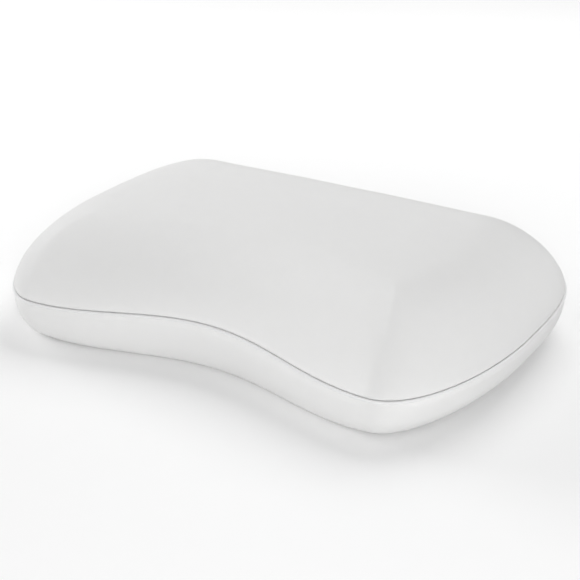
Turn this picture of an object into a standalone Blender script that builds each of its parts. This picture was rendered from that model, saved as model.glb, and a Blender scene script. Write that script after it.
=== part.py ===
"""Contour bed pillow: a moulded foam core in a thin liner, inside a zipped knit cover.

The pillow lies flat on Z = 0. X runs along it, Y from the notched shoulder side at the front
to the straight back, and the origin is under the middle. The cover is a top and a bottom
panel sewn together round the sides with a corded piping between them. A coil zip runs just
under the piping along the straight back. All sizes are in metres.
"""

import math

import bmesh
import bpy
import numpy as np

# ---------------------------------------------------------------- overall sizes
LENGTH = 0.610              # X, over the piping
DEPTH = 0.406               # Y, over the piping
HEIGHT = 0.130              # Z

# ---------------------------------------------------------------- outline in plan
BACK_STRAIGHT_HALF = 0.184  # half of the straight back edge
LOBE_X = 0.2115             # where the two front lobes stand furthest forward
WIDEST_Y = -0.007           # where the two ends stand furthest out
NOTCH_DEPTH = 0.040         # how far the shoulder notch runs in
BACK_CORNER_FULLNESS = 3.3  # superellipse power of the back corners, 2 is an ellipse
FRONT_CORNER_FULLNESS = 2.0

# ---------------------------------------------------------------- section
SEAM_HEIGHT = 0.0545        # the piped seam above the base, along the back
SEAM_DIP = 0.0077           # how much lower it runs round the front lobes
CROWN = 0.006               # rise of the top from its ends to its middle
SHOULDER_WIDTH = 0.0993     # plan width of the rounded shoulder of the top
SHOULDER_FULLNESS = 1.6
BASE_ROUND = 0.014          # plan width of the rounded lower edge, middle of the pillow
BASE_ROUND_ENDS = 0.061     # what the two ends add to it
BASE_FULLNESS = 2.46

# ---------------------------------------------------------------- cloth and seam
GAP = 0.0003                # clearance between pieces that touch
COVER_CLOTH = 0.0012
LINER_CLOTH = 0.0005
SEAM_ALLOWANCE = 0.0090     # how far the turned-in edges reach in from the seam line
SEAM_PULL = 0.0009          # how far the seam draws the cover in
TURN_RADIUS = 0.0033        # how roundly the cover turns in at the seam
PIPING_RADIUS = 0.00175
PIPING_CLOTH = 0.00035
PIPING_SLIT = 0.0003        # between the two layers of the piping's own edge

# ---------------------------------------------------------------- foam core
VENT_PITCH_X = 0.028
VENT_PITCH_Y = 0.030
VENT_DIAMETER = 0.006
VENT_MARGIN = 0.062         # bare border of the core, from its outline

# ---------------------------------------------------------------- zip
WINDOW_HALF = 0.156         # half of the opening that the zip closes
CHAIN_END = 0.150           # where the closed chain ends, at +X
ZIP_LINE_DROP = 0.0060      # middle of the chain below the seam line
ZIP_RECESS = 0.0044         # outer face of the tapes behind the outline
TAPE_THICKNESS = 0.0005
TAPE_WIDTH = 0.0107
TAPE_EDGE = 0.00135         # from the middle of the chain to each tape's edge
COIL_THICKNESS = 0.0012
COIL_WIDTH = 0.0021
COIL_SPLIT = 0.00015        # from the middle of the chain to each coil
SLIDER_LENGTH = 0.0090
SLIDER_HALF_WIDTH = 0.0033
SLIDER_LIP = 0.00075
SLIDER_PLATE = 0.0009
WEDGE_HALF_WIDTH = 0.0010
WEDGE_LENGTH = 0.0033
BAIL_HALF_WIDTH = 0.0008
BAIL_BAR = 0.0008
STOP_LENGTH = 0.0022
STOP_REACH = 0.0024         # from the middle of the chain to a stop's outer edge
STOP_LEG = 0.0006
PULL_PIN_RADIUS = 0.0005
PULL_WIDTH = 0.0050
PULL_LENGTH = 0.0240
PULL_THICKNESS = 0.0010
PULL_EYE_LENGTH = 0.0040

# ---------------------------------------------------------------- fineness of the solids
CORNER_BACK_STEPS = 7
CORNER_FRONT_STEPS = 8
NOTCH_STEPS = 5
WINDOW_STEPS = 3
DOME_ANGLES = (22, 38, 54, 70, 90)
WALL_ANGLES = (30, 50, 70, 90)

# ---------------------------------------------------------------- sizes worked out
TURN_LEVEL = PIPING_SLIT / 2 + PIPING_CLOTH + GAP + TURN_RADIUS
TURN_CENTRE = SEAM_PULL + TURN_RADIUS
PIPING_CENTRE = TURN_CENTRE - math.sqrt((TURN_RADIUS + PIPING_RADIUS + GAP) ** 2 - TURN_LEVEL ** 2)
PIPING_PROUD = PIPING_RADIUS - PIPING_CENTRE
HALF_LENGTH = LENGTH / 2 - PIPING_PROUD
HALF_DEPTH = DEPTH / 2 - PIPING_PROUD
TOP_HEIGHT = HEIGHT - SEAM_HEIGHT - CROWN
LINER_INSET = COVER_CLOTH + GAP
CORE_INSET = LINER_INSET + LINER_CLOTH + GAP
ALLOWANCE_GAP = SEAM_ALLOWANCE + GAP

ZIP_Z = SEAM_HEIGHT - ZIP_LINE_DROP
COIL_OUTER = ZIP_RECESS - GAP - COIL_THICKNESS
PLATE_OUTER = COIL_OUTER - GAP - SLIDER_PLATE
PLATE_INNER = ZIP_RECESS + TAPE_THICKNESS + GAP
SLIDER_BACK = PLATE_INNER + SLIDER_PLATE
TAPE_HALF = WINDOW_HALF - 0.0005
STOP_X = CHAIN_END + 0.0015
SLIDER_X = STOP_X - GAP - SLIDER_LENGTH / 2
OPEN_SLIDER_X = PULL_LENGTH - TAPE_HALF     # the open slider's pull just clears the window's end
BOTTOM_STOP_X = OPEN_SLIDER_X - SLIDER_LENGTH / 2 - GAP
PULL_AXIS_DEPTH = PLATE_OUTER - GAP - PULL_PIN_RADIUS
WINDOW_EDGE = ZIP_LINE_DROP + SLIDER_HALF_WIDTH + 0.0005
WINDOW_EDGE_DEPTH = ZIP_RECESS - GAP - COVER_CLOTH
TAPE_FOOT = ZIP_LINE_DROP + TAPE_EDGE + TAPE_WIDTH
WALL_START = 0.014          # first wall ring of the bottom panel, below the seam
WALL_START_WINDOW = TAPE_FOOT + 0.005
POCKET_DEPTH = SLIDER_BACK + 0.0004

MODEL = bpy.data.collections.new("bed_pillow")
CUTTERS = bpy.data.collections.new("cutters")


# ================================================================ outline in plan
def half_outline():
    """The right half of the seam line, from the middle of the back to the middle of the notch."""
    fine = 240
    quarter = np.linspace(0, math.pi / 2, fine)
    back = HALF_DEPTH - WIDEST_Y
    front = HALF_DEPTH + WIDEST_Y
    corner_back = np.stack([
        BACK_STRAIGHT_HALF + (HALF_LENGTH - BACK_STRAIGHT_HALF) * np.sin(quarter),
        WIDEST_Y + back * np.abs(np.cos(quarter)) ** (2 / BACK_CORNER_FULLNESS)], 1)
    corner_front = np.stack([
        LOBE_X + (HALF_LENGTH - LOBE_X) * np.cos(quarter),
        WIDEST_Y - front * np.sin(quarter) ** (2 / FRONT_CORNER_FULLNESS)], 1)
    x = np.linspace(LOBE_X, 0, fine)
    notch = np.stack([x, -HALF_DEPTH + NOTCH_DEPTH * np.cos(math.pi * x / (2 * LOBE_X)) ** 2], 1)
    return corner_back, corner_front, notch


def evenly(points, steps):
    """Points at equal distances along a fine line, both ends included."""
    run = np.concatenate([[0], np.cumsum(np.linalg.norm(np.diff(points, axis=0), axis=1))])
    at = np.linspace(0, run[-1], steps + 1)
    return np.stack([np.interp(at, run, points[:, 0]), np.interp(at, run, points[:, 1])], 1)


def mirrored(points):
    """A right half from back to front, closed with its mirror image at -X."""
    return np.concatenate([points, (points[::-1] * (-1, 1))[1:-1]])


CORNER_BACK, CORNER_FRONT, NOTCH = half_outline()
BACK_X = list(np.linspace(0, WINDOW_HALF, WINDOW_STEPS + 1))
STATIONS = mirrored(np.concatenate([
    [(x, HALF_DEPTH) for x in BACK_X],
    evenly(CORNER_BACK, CORNER_BACK_STEPS)[:-1],
    evenly(CORNER_FRONT, CORNER_FRONT_STEPS)[:-1],
    evenly(NOTCH, NOTCH_STEPS)]))
FINE_LINE = mirrored(np.concatenate([
    [(x, HALF_DEPTH) for x in np.linspace(0, BACK_STRAIGHT_HALF, 120, endpoint=False)],
    evenly(CORNER_BACK, 200)[:-1],
    evenly(CORNER_FRONT, 260)[:-1],
    evenly(NOTCH, 160)]))
COUNT = len(STATIONS)
IN_WINDOW = (np.abs(STATIONS[:, 0]) < WINDOW_HALF + GAP) & (STATIONS[:, 1] > HALF_DEPTH - GAP)


def inward_normals():
    """At each station, the level direction at right angles to the seam line, pointing in."""
    normals = []
    for point in STATIONS:
        near = int(np.argmin(np.linalg.norm(FINE_LINE - point, axis=1)))
        along = FINE_LINE[(near + 1) % len(FINE_LINE)] - FINE_LINE[near - 1]
        normals.append(np.array([along[1], -along[0]]) / np.linalg.norm(along))
    return np.array(normals)


INWARD = inward_normals()


def depth_of(points):
    """The distance of each plan point from the seam line."""
    return np.min(np.linalg.norm(points[:, None, :] - FINE_LINE[None, :, :], axis=2), axis=1)


def at_depth(depth):
    """For each station, a plan point that lies at this distance in from the seam line.

    Near the line the point is straight in from its station. Further in it lies on a spoke
    towards the pillow's long middle, so that the rings never cross themselves.
    """
    depth = np.broadcast_to(np.asarray(depth, float), (COUNT,))
    straight = 0.012
    close = STATIONS + INWARD * np.minimum(depth, straight)[:, None]
    spine = np.stack([STATIONS[:, 0] * 0.4, np.zeros(COUNT)], 1)
    low = np.zeros(COUNT)
    high = np.ones(COUNT)
    for _ in range(24):
        middle = (low + high) / 2
        found = depth_of(close + (spine - close) * middle[:, None])
        low = np.where(found < depth, middle, low)
        high = np.where(found < depth, high, middle)
    far = (depth > straight)[:, None]
    return np.where(far, close + (spine - close) * high[:, None], close)


def seam_levels():
    """The seam's height at each station: level at the back, lower round the front lobes."""
    across = np.abs(STATIONS[:, 0])
    in_front = STATIONS[:, 1] < WIDEST_Y
    lobe = np.clip((across - LOBE_X) / (HALF_LENGTH - LOBE_X), 0, 1)
    dip = np.where(across <= LOBE_X, np.sin(math.pi * across / (2 * LOBE_X)) ** 2, 1 - lobe ** 2)
    return SEAM_HEIGHT - SEAM_DIP * np.where(in_front, dip, 0)


SEAM_Z = seam_levels()


# ================================================================ rings of the skin
def with_height(plan, z):
    return np.concatenate([plan, np.broadcast_to(z, (COUNT,))[:, None]], 1)


def near_seam(depth, rise):
    """A ring at a depth behind the seam line and a rise above it."""
    depth = np.broadcast_to(np.asarray(depth, float), (COUNT,))
    return with_height(STATIONS + INWARD * depth[:, None], SEAM_Z + rise)


def dome_ring(angle):
    """A ring of the top, from 0 degrees at the seam to 90 where the shoulder ends."""
    turn = math.radians(angle)
    share = math.sin(turn) ** (2 / SHOULDER_FULLNESS)
    plan = at_depth(SHOULDER_WIDTH * (1 - abs(math.cos(turn)) ** (2 / SHOULDER_FULLNESS)))
    crown = CROWN * (1 - (plan[:, 0] / HALF_LENGTH) ** 2)
    rise = (TOP_HEIGHT + crown) * share
    return with_height(plan, SEAM_HEIGHT + rise + (SEAM_Z - SEAM_HEIGHT) * (1 - share))


def top_middle(share):
    """A ring inside the shoulder: the last dome ring drawn in towards the middle."""
    plan = dome_ring(90)[:, :2] * share
    return with_height(plan, HEIGHT - CROWN * (plan[:, 0] / HALF_LENGTH) ** 2)


def wall_ring(turn):
    """A ring of the bottom, from 0 at the seam to a quarter turn on the flat base."""
    turn = np.broadcast_to(np.asarray(turn, float), (COUNT,))
    share = np.sin(turn) ** (2 / BASE_FULLNESS)
    width = BASE_ROUND + BASE_ROUND_ENDS * (STATIONS[:, 0] / HALF_LENGTH) ** 4
    plan = at_depth(width * (1 - np.abs(np.cos(turn)) ** (2 / BASE_FULLNESS)))
    return with_height(plan, SEAM_Z * (1 - share))


def first_wall_ring():
    """The highest ring of the wall, which starts lower under the zip."""
    drop = np.where(IN_WINDOW, WALL_START_WINDOW, WALL_START)
    return wall_ring(np.arcsin((drop / SEAM_Z) ** (BASE_FULLNESS / 2)))


def outward_normals(rings, side):
    """Normals of a stack of rings that leaves the seam upwards (side 1) or downwards (-1)."""
    normals = []
    for k, ring in enumerate(rings):
        along = np.roll(ring, -1, axis=0) - np.roll(ring, 1, axis=0)
        across = rings[min(k + 1, len(rings) - 1)] - rings[max(k - 1, 0)]
        normal = side * np.cross(across, along)
        normals.append(normal / np.linalg.norm(normal, axis=1)[:, None])
    return normals


DOME = [dome_ring(angle) for angle in DOME_ANGLES] + [top_middle(0.5)]
DOME_OUT = outward_normals([near_seam(SEAM_PULL, TURN_LEVEL)] + DOME, 1)[1:]
WALL = [first_wall_ring()] + [wall_ring(math.radians(angle)) for angle in WALL_ANGLES]
WALL_OUT = outward_normals([near_seam(SEAM_PULL, -TURN_LEVEL)] + WALL, -1)[1:]
WALL_OUT[-1] = np.broadcast_to(np.array((0.0, 0.0, -1.0)), WALL_OUT[-1].shape)
TOP_CENTRE = np.array((0.0, 0.0, HEIGHT))


def turned_in(side, inset, reach, floor):
    """The edge of one layer, from its raw edge in at the seam out to the dome or wall.

    side is 1 above the seam and -1 below it, inset is how far the layer lies inside the
    cover's outer face, reach is the depth of its raw edge and floor where that edge starts.
    """
    radius = TURN_RADIUS - inset
    level = TURN_LEVEL - radius
    slant = radius * math.sqrt(0.5)
    rings = [near_seam(TURN_CENTRE, side * level),
             near_seam(TURN_CENTRE - slant, side * (TURN_LEVEL - slant)),
             near_seam(TURN_CENTRE - radius, side * TURN_LEVEL)]
    edge = [near_seam(reach, side * level)]
    if floor is not None:
        edge.insert(0, near_seam(reach, side * floor))
    return edge + rings


def zip_pocket(rings, inset):
    """The lower edge of the liner or the core, set back behind the zip for the slider."""
    pocket = POCKET_DEPTH + inset - LINER_INSET
    foot = TAPE_FOOT + 0.0006
    level = -(TURN_LEVEL - TURN_RADIUS + inset)
    set_back = [near_seam(pocket, level), near_seam(pocket, -foot / 2), near_seam(pocket, -foot)]
    for ring, moved in zip(rings[-3:], set_back):
        ring[IN_WINDOW] = moved[IN_WINDOW]
    return rings


def top_skin(inset):
    return [ring - normal * inset for ring, normal in zip(DOME, DOME_OUT)]


def bottom_skin(inset):
    return [ring - normal * inset for ring, normal in zip(WALL, WALL_OUT)]


# ================================================================ mesh helpers
def material(name, color, roughness, metallic=0.0):
    mat = bpy.data.materials.new(name)
    mat.use_nodes = True
    shader = mat.node_tree.nodes["Principled BSDF"]
    shader.inputs["Base Color"].default_value = (*color, 1)
    shader.inputs["Roughness"].default_value = roughness
    shader.inputs["Metallic"].default_value = metallic
    return mat


def new_object(name, bm, finish, collection=MODEL):
    mesh = bpy.data.meshes.new(name)
    bm.to_mesh(mesh)
    bm.free()
    obj = bpy.data.objects.new(name, mesh)
    obj.data.materials.append(finish)
    collection.objects.link(obj)
    return obj


def band(bm, row, further):
    """Two triangles at each station between a row and the next one away from the seam.

    The quads are split the same way in every layer, so that nested layers stay parallel.
    """
    for i in range(COUNT):
        j = (i + 1) % COUNT
        if i < COUNT // 2:
            halves = (row[i], row[j], further[j]), (row[i], further[j], further[i])
        else:
            halves = (row[i], row[j], further[i]), (row[j], further[j], further[i])
        for corners in halves:
            bm.faces.new(corners)


def stack(bm, rings):
    """Vertices of a stack of rings that leaves the seam, with a band between each two."""
    rows = [[bm.verts.new(point) for point in ring] for ring in rings]
    for row, further in zip(rows, rows[1:]):
        band(bm, row, further)
    return rows


def cap_with_fan(bm, row, centre):
    middle = bm.verts.new(centre)
    for i in range(COUNT):
        bm.faces.new((row[i], row[(i + 1) % COUNT], middle))


def apply_modifiers(obj):
    """Bake the modifiers of an object into its mesh."""
    shape = obj.evaluated_get(bpy.context.evaluated_depsgraph_get())
    mesh = bpy.data.meshes.new_from_object(shape)
    obj.modifiers.clear()
    obj.data = mesh


def face_outwards(bm, up):
    """Turn an open skin so that its last face looks up or down."""
    bmesh.ops.recalc_face_normals(bm, faces=bm.faces)
    bm.faces.ensure_lookup_table()
    if bm.faces[-1].normal.z * up < 0:
        bmesh.ops.reverse_faces(bm, faces=bm.faces)


def open_window(bm, edge_rows):
    """Leave out the turned-in edge over the stretch that the zip closes."""
    window = {row[i] for row in edge_rows for i in range(COUNT) if IN_WINDOW[i]}
    spare = [face for face in bm.faces if all(vertex in window for vertex in face.verts)]
    bmesh.ops.delete(bm, geom=spare, context="FACES")


def shell(name, rings, centre, thickness, finish, cut_window):
    """A cloth panel: an open skin through its rings, thickened inwards.

    A top panel closes on its centre point, a bottom panel (no centre) on its flat base.
    """
    bm = bmesh.new()
    rows = stack(bm, rings)
    if centre is None:
        bm.faces.new(rows[-1])
    else:
        cap_with_fan(bm, rows[-1], centre)
    if cut_window:
        open_window(bm, rows[:4])
    face_outwards(bm, -1 if centre is None else 1)
    obj = new_object(name, bm, finish)
    solid = obj.modifiers.new("cloth", "SOLIDIFY")
    solid.thickness = thickness
    solid.offset = -1
    obj.data.shade_smooth()
    return obj


def closed_ring(name, section, finish):
    """A closed loop round the whole seam, from one closed section of (depth, rise) points."""
    bm = bmesh.new()
    rows = stack(bm, [near_seam(depth, rise) for depth, rise in section])
    band(bm, rows[-1], rows[0])
    bmesh.ops.recalc_face_normals(bm, faces=bm.faces)
    obj = new_object(name, bm, finish)
    obj.data.shade_smooth()
    return obj


def along_x(name, section, x_low, x_high, finish, bevel=0.0):
    """A bar along X at the back. section holds (depth behind the outline, z) corners."""
    bm = bmesh.new()
    corners = [bm.verts.new((x_low, HALF_DEPTH - depth, z)) for depth, z in section]
    end = bm.faces.new(corners)
    grown = bmesh.ops.extrude_face_region(bm, geom=[end])["geom"]
    bmesh.ops.translate(bm, verts=[g for g in grown if isinstance(g, bmesh.types.BMVert)],
                        vec=(x_high - x_low, 0, 0))
    bmesh.ops.recalc_face_normals(bm, faces=bm.faces)
    obj = new_object(name, bm, finish)
    if bevel:
        round_edges(obj, bevel)
    return obj


def round_edges(obj, width):
    modifier = obj.modifiers.new("edges", "BEVEL")
    modifier.width = width
    modifier.segments = 1
    modifier.limit_method = "ANGLE"


def rectangle(depth_low, depth_high, z_low, z_high):
    return [(depth_low, z_low), (depth_high, z_low), (depth_high, z_high), (depth_low, z_high)]


def join(base, others):
    """Unite solids with an exact Boolean and drop the pieces that were joined on."""
    for other in others:
        modifier = base.modifiers.new("join", "BOOLEAN")
        modifier.operation = "UNION"
        modifier.object = other
    bpy.context.view_layer.update()
    apply_modifiers(base)
    for other in others:
        bpy.data.objects.remove(other)
    return base


# ================================================================ cover
def make_cover(finish):
    top = turned_in(1, 0, SEAM_ALLOWANCE, None) + DOME
    shell("cover_top_panel", top, TOP_CENTRE, COVER_CLOTH, finish, False)
    edge = turned_in(-1, 0, SEAM_ALLOWANCE, None)
    window = near_seam(WINDOW_EDGE_DEPTH, -WINDOW_EDGE)
    edge[-1][IN_WINDOW] = window[IN_WINDOW]
    shell("cover_bottom_panel", edge + WALL, None, COVER_CLOTH, finish, True)


def make_piping(wrap_finish, cord_finish):
    """Cloth wrapped round a filler cord, its two raw edges running into the seam."""
    inner = PIPING_RADIUS - PIPING_CLOTH
    slit = PIPING_SLIT / 2
    outer_level = slit + PIPING_CLOTH
    mouth_out = math.asin(outer_level / PIPING_RADIUS)
    mouth_in = math.asin(slit / inner)
    section = [(SEAM_ALLOWANCE, outer_level)]
    for k in range(9):
        turn = mouth_out + (2 * math.pi - 2 * mouth_out) * k / 8
        section.append((PIPING_CENTRE + PIPING_RADIUS * math.cos(turn), PIPING_RADIUS * math.sin(turn)))
    section += [(SEAM_ALLOWANCE, -outer_level), (SEAM_ALLOWANCE, -slit)]
    for k in range(7):
        turn = 2 * math.pi - mouth_in - (2 * math.pi - 2 * mouth_in) * k / 6
        section.append((PIPING_CENTRE + inner * math.cos(turn), inner * math.sin(turn)))
    section.append((SEAM_ALLOWANCE, slit))
    closed_ring("piping_wrap", section, wrap_finish)
    cord = inner - 2 * GAP
    closed_ring("piping_cord", [
        (PIPING_CENTRE + cord * math.cos(math.radians(a)), cord * math.sin(math.radians(a)))
        for a in range(30, 390, 60)], cord_finish)


# ================================================================ liner and core
def make_liner(finish):
    split = GAP / 2
    top = turned_in(1, LINER_INSET, ALLOWANCE_GAP, split) + top_skin(LINER_INSET)
    centre = TOP_CENTRE - (0, 0, LINER_INSET)
    shell("liner_top", top, centre, LINER_CLOTH, finish, False)
    edge = zip_pocket(turned_in(-1, LINER_INSET, ALLOWANCE_GAP, split), LINER_INSET)
    shell("liner_bottom", edge + bottom_skin(LINER_INSET), None, LINER_CLOTH, finish, False)


def make_core(finish):
    """The moulded foam block, grooved for the seam and pierced by a grid of vent holes."""
    groove = ALLOWANCE_GAP + LINER_CLOTH + GAP
    above = turned_in(1, CORE_INSET, groove, None) + top_skin(CORE_INSET)
    below = zip_pocket(turned_in(-1, CORE_INSET, groove, None), CORE_INSET) + bottom_skin(CORE_INSET)
    bm = bmesh.new()
    upper = stack(bm, above)
    lower = stack(bm, below)
    band(bm, lower[0], upper[0])
    bm.faces.new(lower[-1])
    cap_with_fan(bm, upper[-1], TOP_CENTRE - (0, 0, CORE_INSET))
    bmesh.ops.recalc_face_normals(bm, faces=bm.faces)
    core = new_object("foam_core", bm, finish)
    pins = vent_pins(finish)
    cut = core.modifiers.new("vents", "BOOLEAN")
    cut.operation = "DIFFERENCE"
    cut.object = pins
    return core


def vent_pins(finish):
    """One cutter that holds all the mould's pins, on a square grid inside the border."""
    columns = int(LENGTH / 2 / VENT_PITCH_X)
    rows = int(DEPTH / 2 / VENT_PITCH_Y)
    places = np.array([(i * VENT_PITCH_X, j * VENT_PITCH_Y)
                       for i in range(-columns, columns + 1) for j in range(-rows, rows + 1)])
    bm = bmesh.new()
    for x, y in places[inside_border(places)]:
        pin = bmesh.ops.create_cone(bm, cap_ends=True, segments=6, radius1=VENT_DIAMETER / 2,
                                    radius2=VENT_DIAMETER / 2, depth=HEIGHT * 1.2)
        bmesh.ops.translate(bm, verts=pin["verts"], vec=(x, y, HEIGHT / 2))
    pins = new_object("vent_pins", bm, finish, CUTTERS)
    pins.hide_render = True
    pins.display_type = "WIRE"
    return pins


def inside_border(places):
    """Which plan points lie inside the seam line and clear of the core's bare border."""
    nearest = np.argmin(np.linalg.norm(places[:, None, :] - FINE_LINE[None], axis=2), axis=1)
    along = np.roll(FINE_LINE, -1, axis=0) - np.roll(FINE_LINE, 1, axis=0)
    inward = np.stack([along[:, 1], -along[:, 0]], 1)[nearest]
    inside = np.sum((places - FINE_LINE[nearest]) * inward, axis=1) > 0
    return inside & (depth_of(places) > VENT_MARGIN)


# ================================================================ zip
def make_tapes(finish):
    inner = ZIP_RECESS + TAPE_THICKNESS
    top = SEAM_HEIGHT - (TURN_LEVEL - TURN_RADIUS)
    edge = ZIP_Z + TAPE_EDGE
    along_x("zip_tape_upper", [
        (ZIP_RECESS, top), (SEAM_ALLOWANCE, top), (SEAM_ALLOWANCE, top - TAPE_THICKNESS),
        (inner, top - TAPE_THICKNESS), (inner, edge), (ZIP_RECESS, edge)],
        -TAPE_HALF, TAPE_HALF, finish)
    along_x("zip_tape_lower",
            rectangle(ZIP_RECESS, inner, SEAM_HEIGHT - TAPE_FOOT, ZIP_Z - TAPE_EDGE),
            -TAPE_HALF, TAPE_HALF, finish)


def make_coils(finish):
    """The two coils, which end where the closed slider's wedge stands."""
    end = SLIDER_X + SLIDER_LENGTH / 2 - WEDGE_LENGTH - 2 * GAP - SLIDER_LIP
    for name, low in (("zip_coil_upper", COIL_SPLIT), ("zip_coil_lower", -COIL_SPLIT - COIL_WIDTH)):
        along_x(name, rectangle(COIL_OUTER, ZIP_RECESS - GAP, ZIP_Z + low, ZIP_Z + low + COIL_WIDTH),
                BOTTOM_STOP_X + GAP, end, finish, 0.0003)


def make_slider(finish):
    """Two plates with side lips, the wedge that parts the coils, and the bail over the pull."""
    tail = SLIDER_X - SLIDER_LENGTH / 2
    nose = SLIDER_X + SLIDER_LENGTH / 2
    bite = 0.0001
    wide = SLIDER_HALF_WIDTH
    lip_foot = ZIP_RECESS - GAP
    body = along_x("zip_slider", rectangle(PLATE_OUTER, PLATE_OUTER + SLIDER_PLATE,
                                           ZIP_Z - wide, ZIP_Z + wide), tail, nose, finish)
    back = along_x("back_plate", rectangle(PLATE_INNER, SLIDER_BACK, ZIP_Z - wide, ZIP_Z + wide),
                   tail, nose, finish)
    lips = [along_x("lip", rectangle(PLATE_OUTER + bite, lip_foot, z, z + SLIDER_LIP), tail, nose, finish)
            for z in (ZIP_Z - wide, ZIP_Z + wide - SLIDER_LIP)]
    wedge = along_x("wedge", rectangle(PLATE_OUTER + bite, SLIDER_BACK - bite,
                                       ZIP_Z - WEDGE_HALF_WIDTH, ZIP_Z + WEDGE_HALF_WIDTH),
                    nose - SLIDER_LIP - WEDGE_LENGTH, nose - SLIDER_LIP, finish)
    bail_in = PULL_AXIS_DEPTH - PULL_PIN_RADIUS - GAP
    bail_reach = 0.0039
    bar = along_x("bail_bar", rectangle(bail_in - BAIL_BAR, bail_in, ZIP_Z - BAIL_HALF_WIDTH,
                                        ZIP_Z + BAIL_HALF_WIDTH),
                  SLIDER_X - bail_reach, SLIDER_X + bail_reach, finish)
    feet = [along_x("bail_foot", rectangle(bail_in - bite, PLATE_OUTER + bite,
                                           ZIP_Z - BAIL_HALF_WIDTH, ZIP_Z + BAIL_HALF_WIDTH),
                    x, x + BAIL_BAR, finish)
            for x in (SLIDER_X - bail_reach, SLIDER_X + bail_reach - BAIL_BAR)]
    join(body, [back, *lips, wedge, bar, *feet])


def make_pull(finish):
    """A tab whose end pin lies under the slider's bail, with an eye that clears the bail."""
    face = PULL_AXIS_DEPTH - PULL_THICKNESS / 2
    back = PULL_AXIS_DEPTH + PULL_THICKNESS / 2
    half = PULL_WIDTH / 2
    arm = half - BAIL_HALF_WIDTH - GAP * 2
    eye_end = SLIDER_X - PULL_EYE_LENGTH - PULL_PIN_RADIUS
    bite = 0.0001
    tab = along_x("zip_pull", rectangle(face, back, ZIP_Z - half, ZIP_Z + half),
                  SLIDER_X - PULL_LENGTH, eye_end, finish)
    arms = [along_x("arm", rectangle(face, back, z, z + arm), eye_end - bite, SLIDER_X, finish)
            for z in (ZIP_Z - half, ZIP_Z + half - arm)]
    bpy.ops.mesh.primitive_cylinder_add(
        vertices=16, radius=PULL_PIN_RADIUS, depth=PULL_WIDTH,
        location=(SLIDER_X, HALF_DEPTH - PULL_AXIS_DEPTH, ZIP_Z))
    pin = bpy.context.object
    pin.name = "pin"
    join(tab, [*arms, pin])
    place_origin(tab, (SLIDER_X, HALF_DEPTH - PULL_AXIS_DEPTH, ZIP_Z))


def place_origin(obj, point):
    """Put the object's origin on its joint's axis, with its shape left where it is."""
    for vertex in obj.data.vertices:
        vertex.co = [a - b for a, b in zip(vertex.co, point)]
    obj.location = point


def make_stops(finish):
    """Crimped clips: one on each tape's edge at the closed end, one over both at the other."""
    face = ZIP_RECESS - GAP - STOP_LEG
    back = PLATE_INNER + STOP_LEG
    web = TAPE_EDGE - GAP
    for name, side in (("zip_top_stop_upper", 1), ("zip_top_stop_lower", -1)):
        heel = COIL_SPLIT + GAP
        clip = [(face, heel), (back, heel), (back, STOP_REACH), (PLATE_INNER, STOP_REACH),
                (PLATE_INNER, web), (ZIP_RECESS - GAP, web), (ZIP_RECESS - GAP, STOP_REACH),
                (face, STOP_REACH)]
        along_x(name, [(d, ZIP_Z + side * z) for d, z in clip], STOP_X, STOP_X + STOP_LENGTH, finish)
    upper = [(face, STOP_REACH), (ZIP_RECESS - GAP, STOP_REACH), (ZIP_RECESS - GAP, web),
             (PLATE_INNER, web), (PLATE_INNER, STOP_REACH), (back, STOP_REACH)]
    both = upper + [(d, -z) for d, z in upper[::-1]]
    along_x("zip_bottom_stop", [(d, ZIP_Z + z) for d, z in both],
            BOTTOM_STOP_X - STOP_LENGTH, BOTTOM_STOP_X, finish)


# ================================================================ the whole pillow
def main():
    for obj in list(bpy.data.objects):
        bpy.data.objects.remove(obj)
    bpy.context.scene.collection.children.link(MODEL)
    bpy.context.scene.collection.children.link(CUTTERS)
    knit = material("knit_cover", (0.80, 0.80, 0.79), 0.9)
    tricot = material("liner_tricot", (0.78, 0.78, 0.77), 0.85)
    foam = material("memory_foam", (0.85, 0.83, 0.76), 0.95)
    cord = material("filler_cord", (0.80, 0.79, 0.76), 0.9)
    tape = material("zip_tape", (0.80, 0.80, 0.79), 0.85)
    coil = material("zip_coil", (0.78, 0.78, 0.77), 0.4)
    metal = material("zip_metal", (0.72, 0.72, 0.70), 0.35, 0.9)
    make_cover(knit)
    make_piping(knit, cord)
    make_liner(tricot)
    make_core(foam)
    make_tapes(tape)
    make_coils(coil)
    make_slider(metal)
    make_pull(metal)
    make_stops(metal)


main()
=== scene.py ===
"""Contour bed pillow: knit cover with corded piping, liner, foam core and a coil zip at the back.

The pillow lies flat on Z = 0 with X along it, the shoulder notch at -Y and the zip at +Y. The
soft layers are grids that follow the seam line: each row is a ring at one distance from the
seam. The zip's hard pieces are modelled with edit-mode operators. All sizes are in metres.
"""
import math

import bmesh
import bpy
import numpy as np
from bpy.props import FloatProperty, FloatVectorProperty, PointerProperty
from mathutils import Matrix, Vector
from mathutils.kdtree import KDTree


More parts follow.
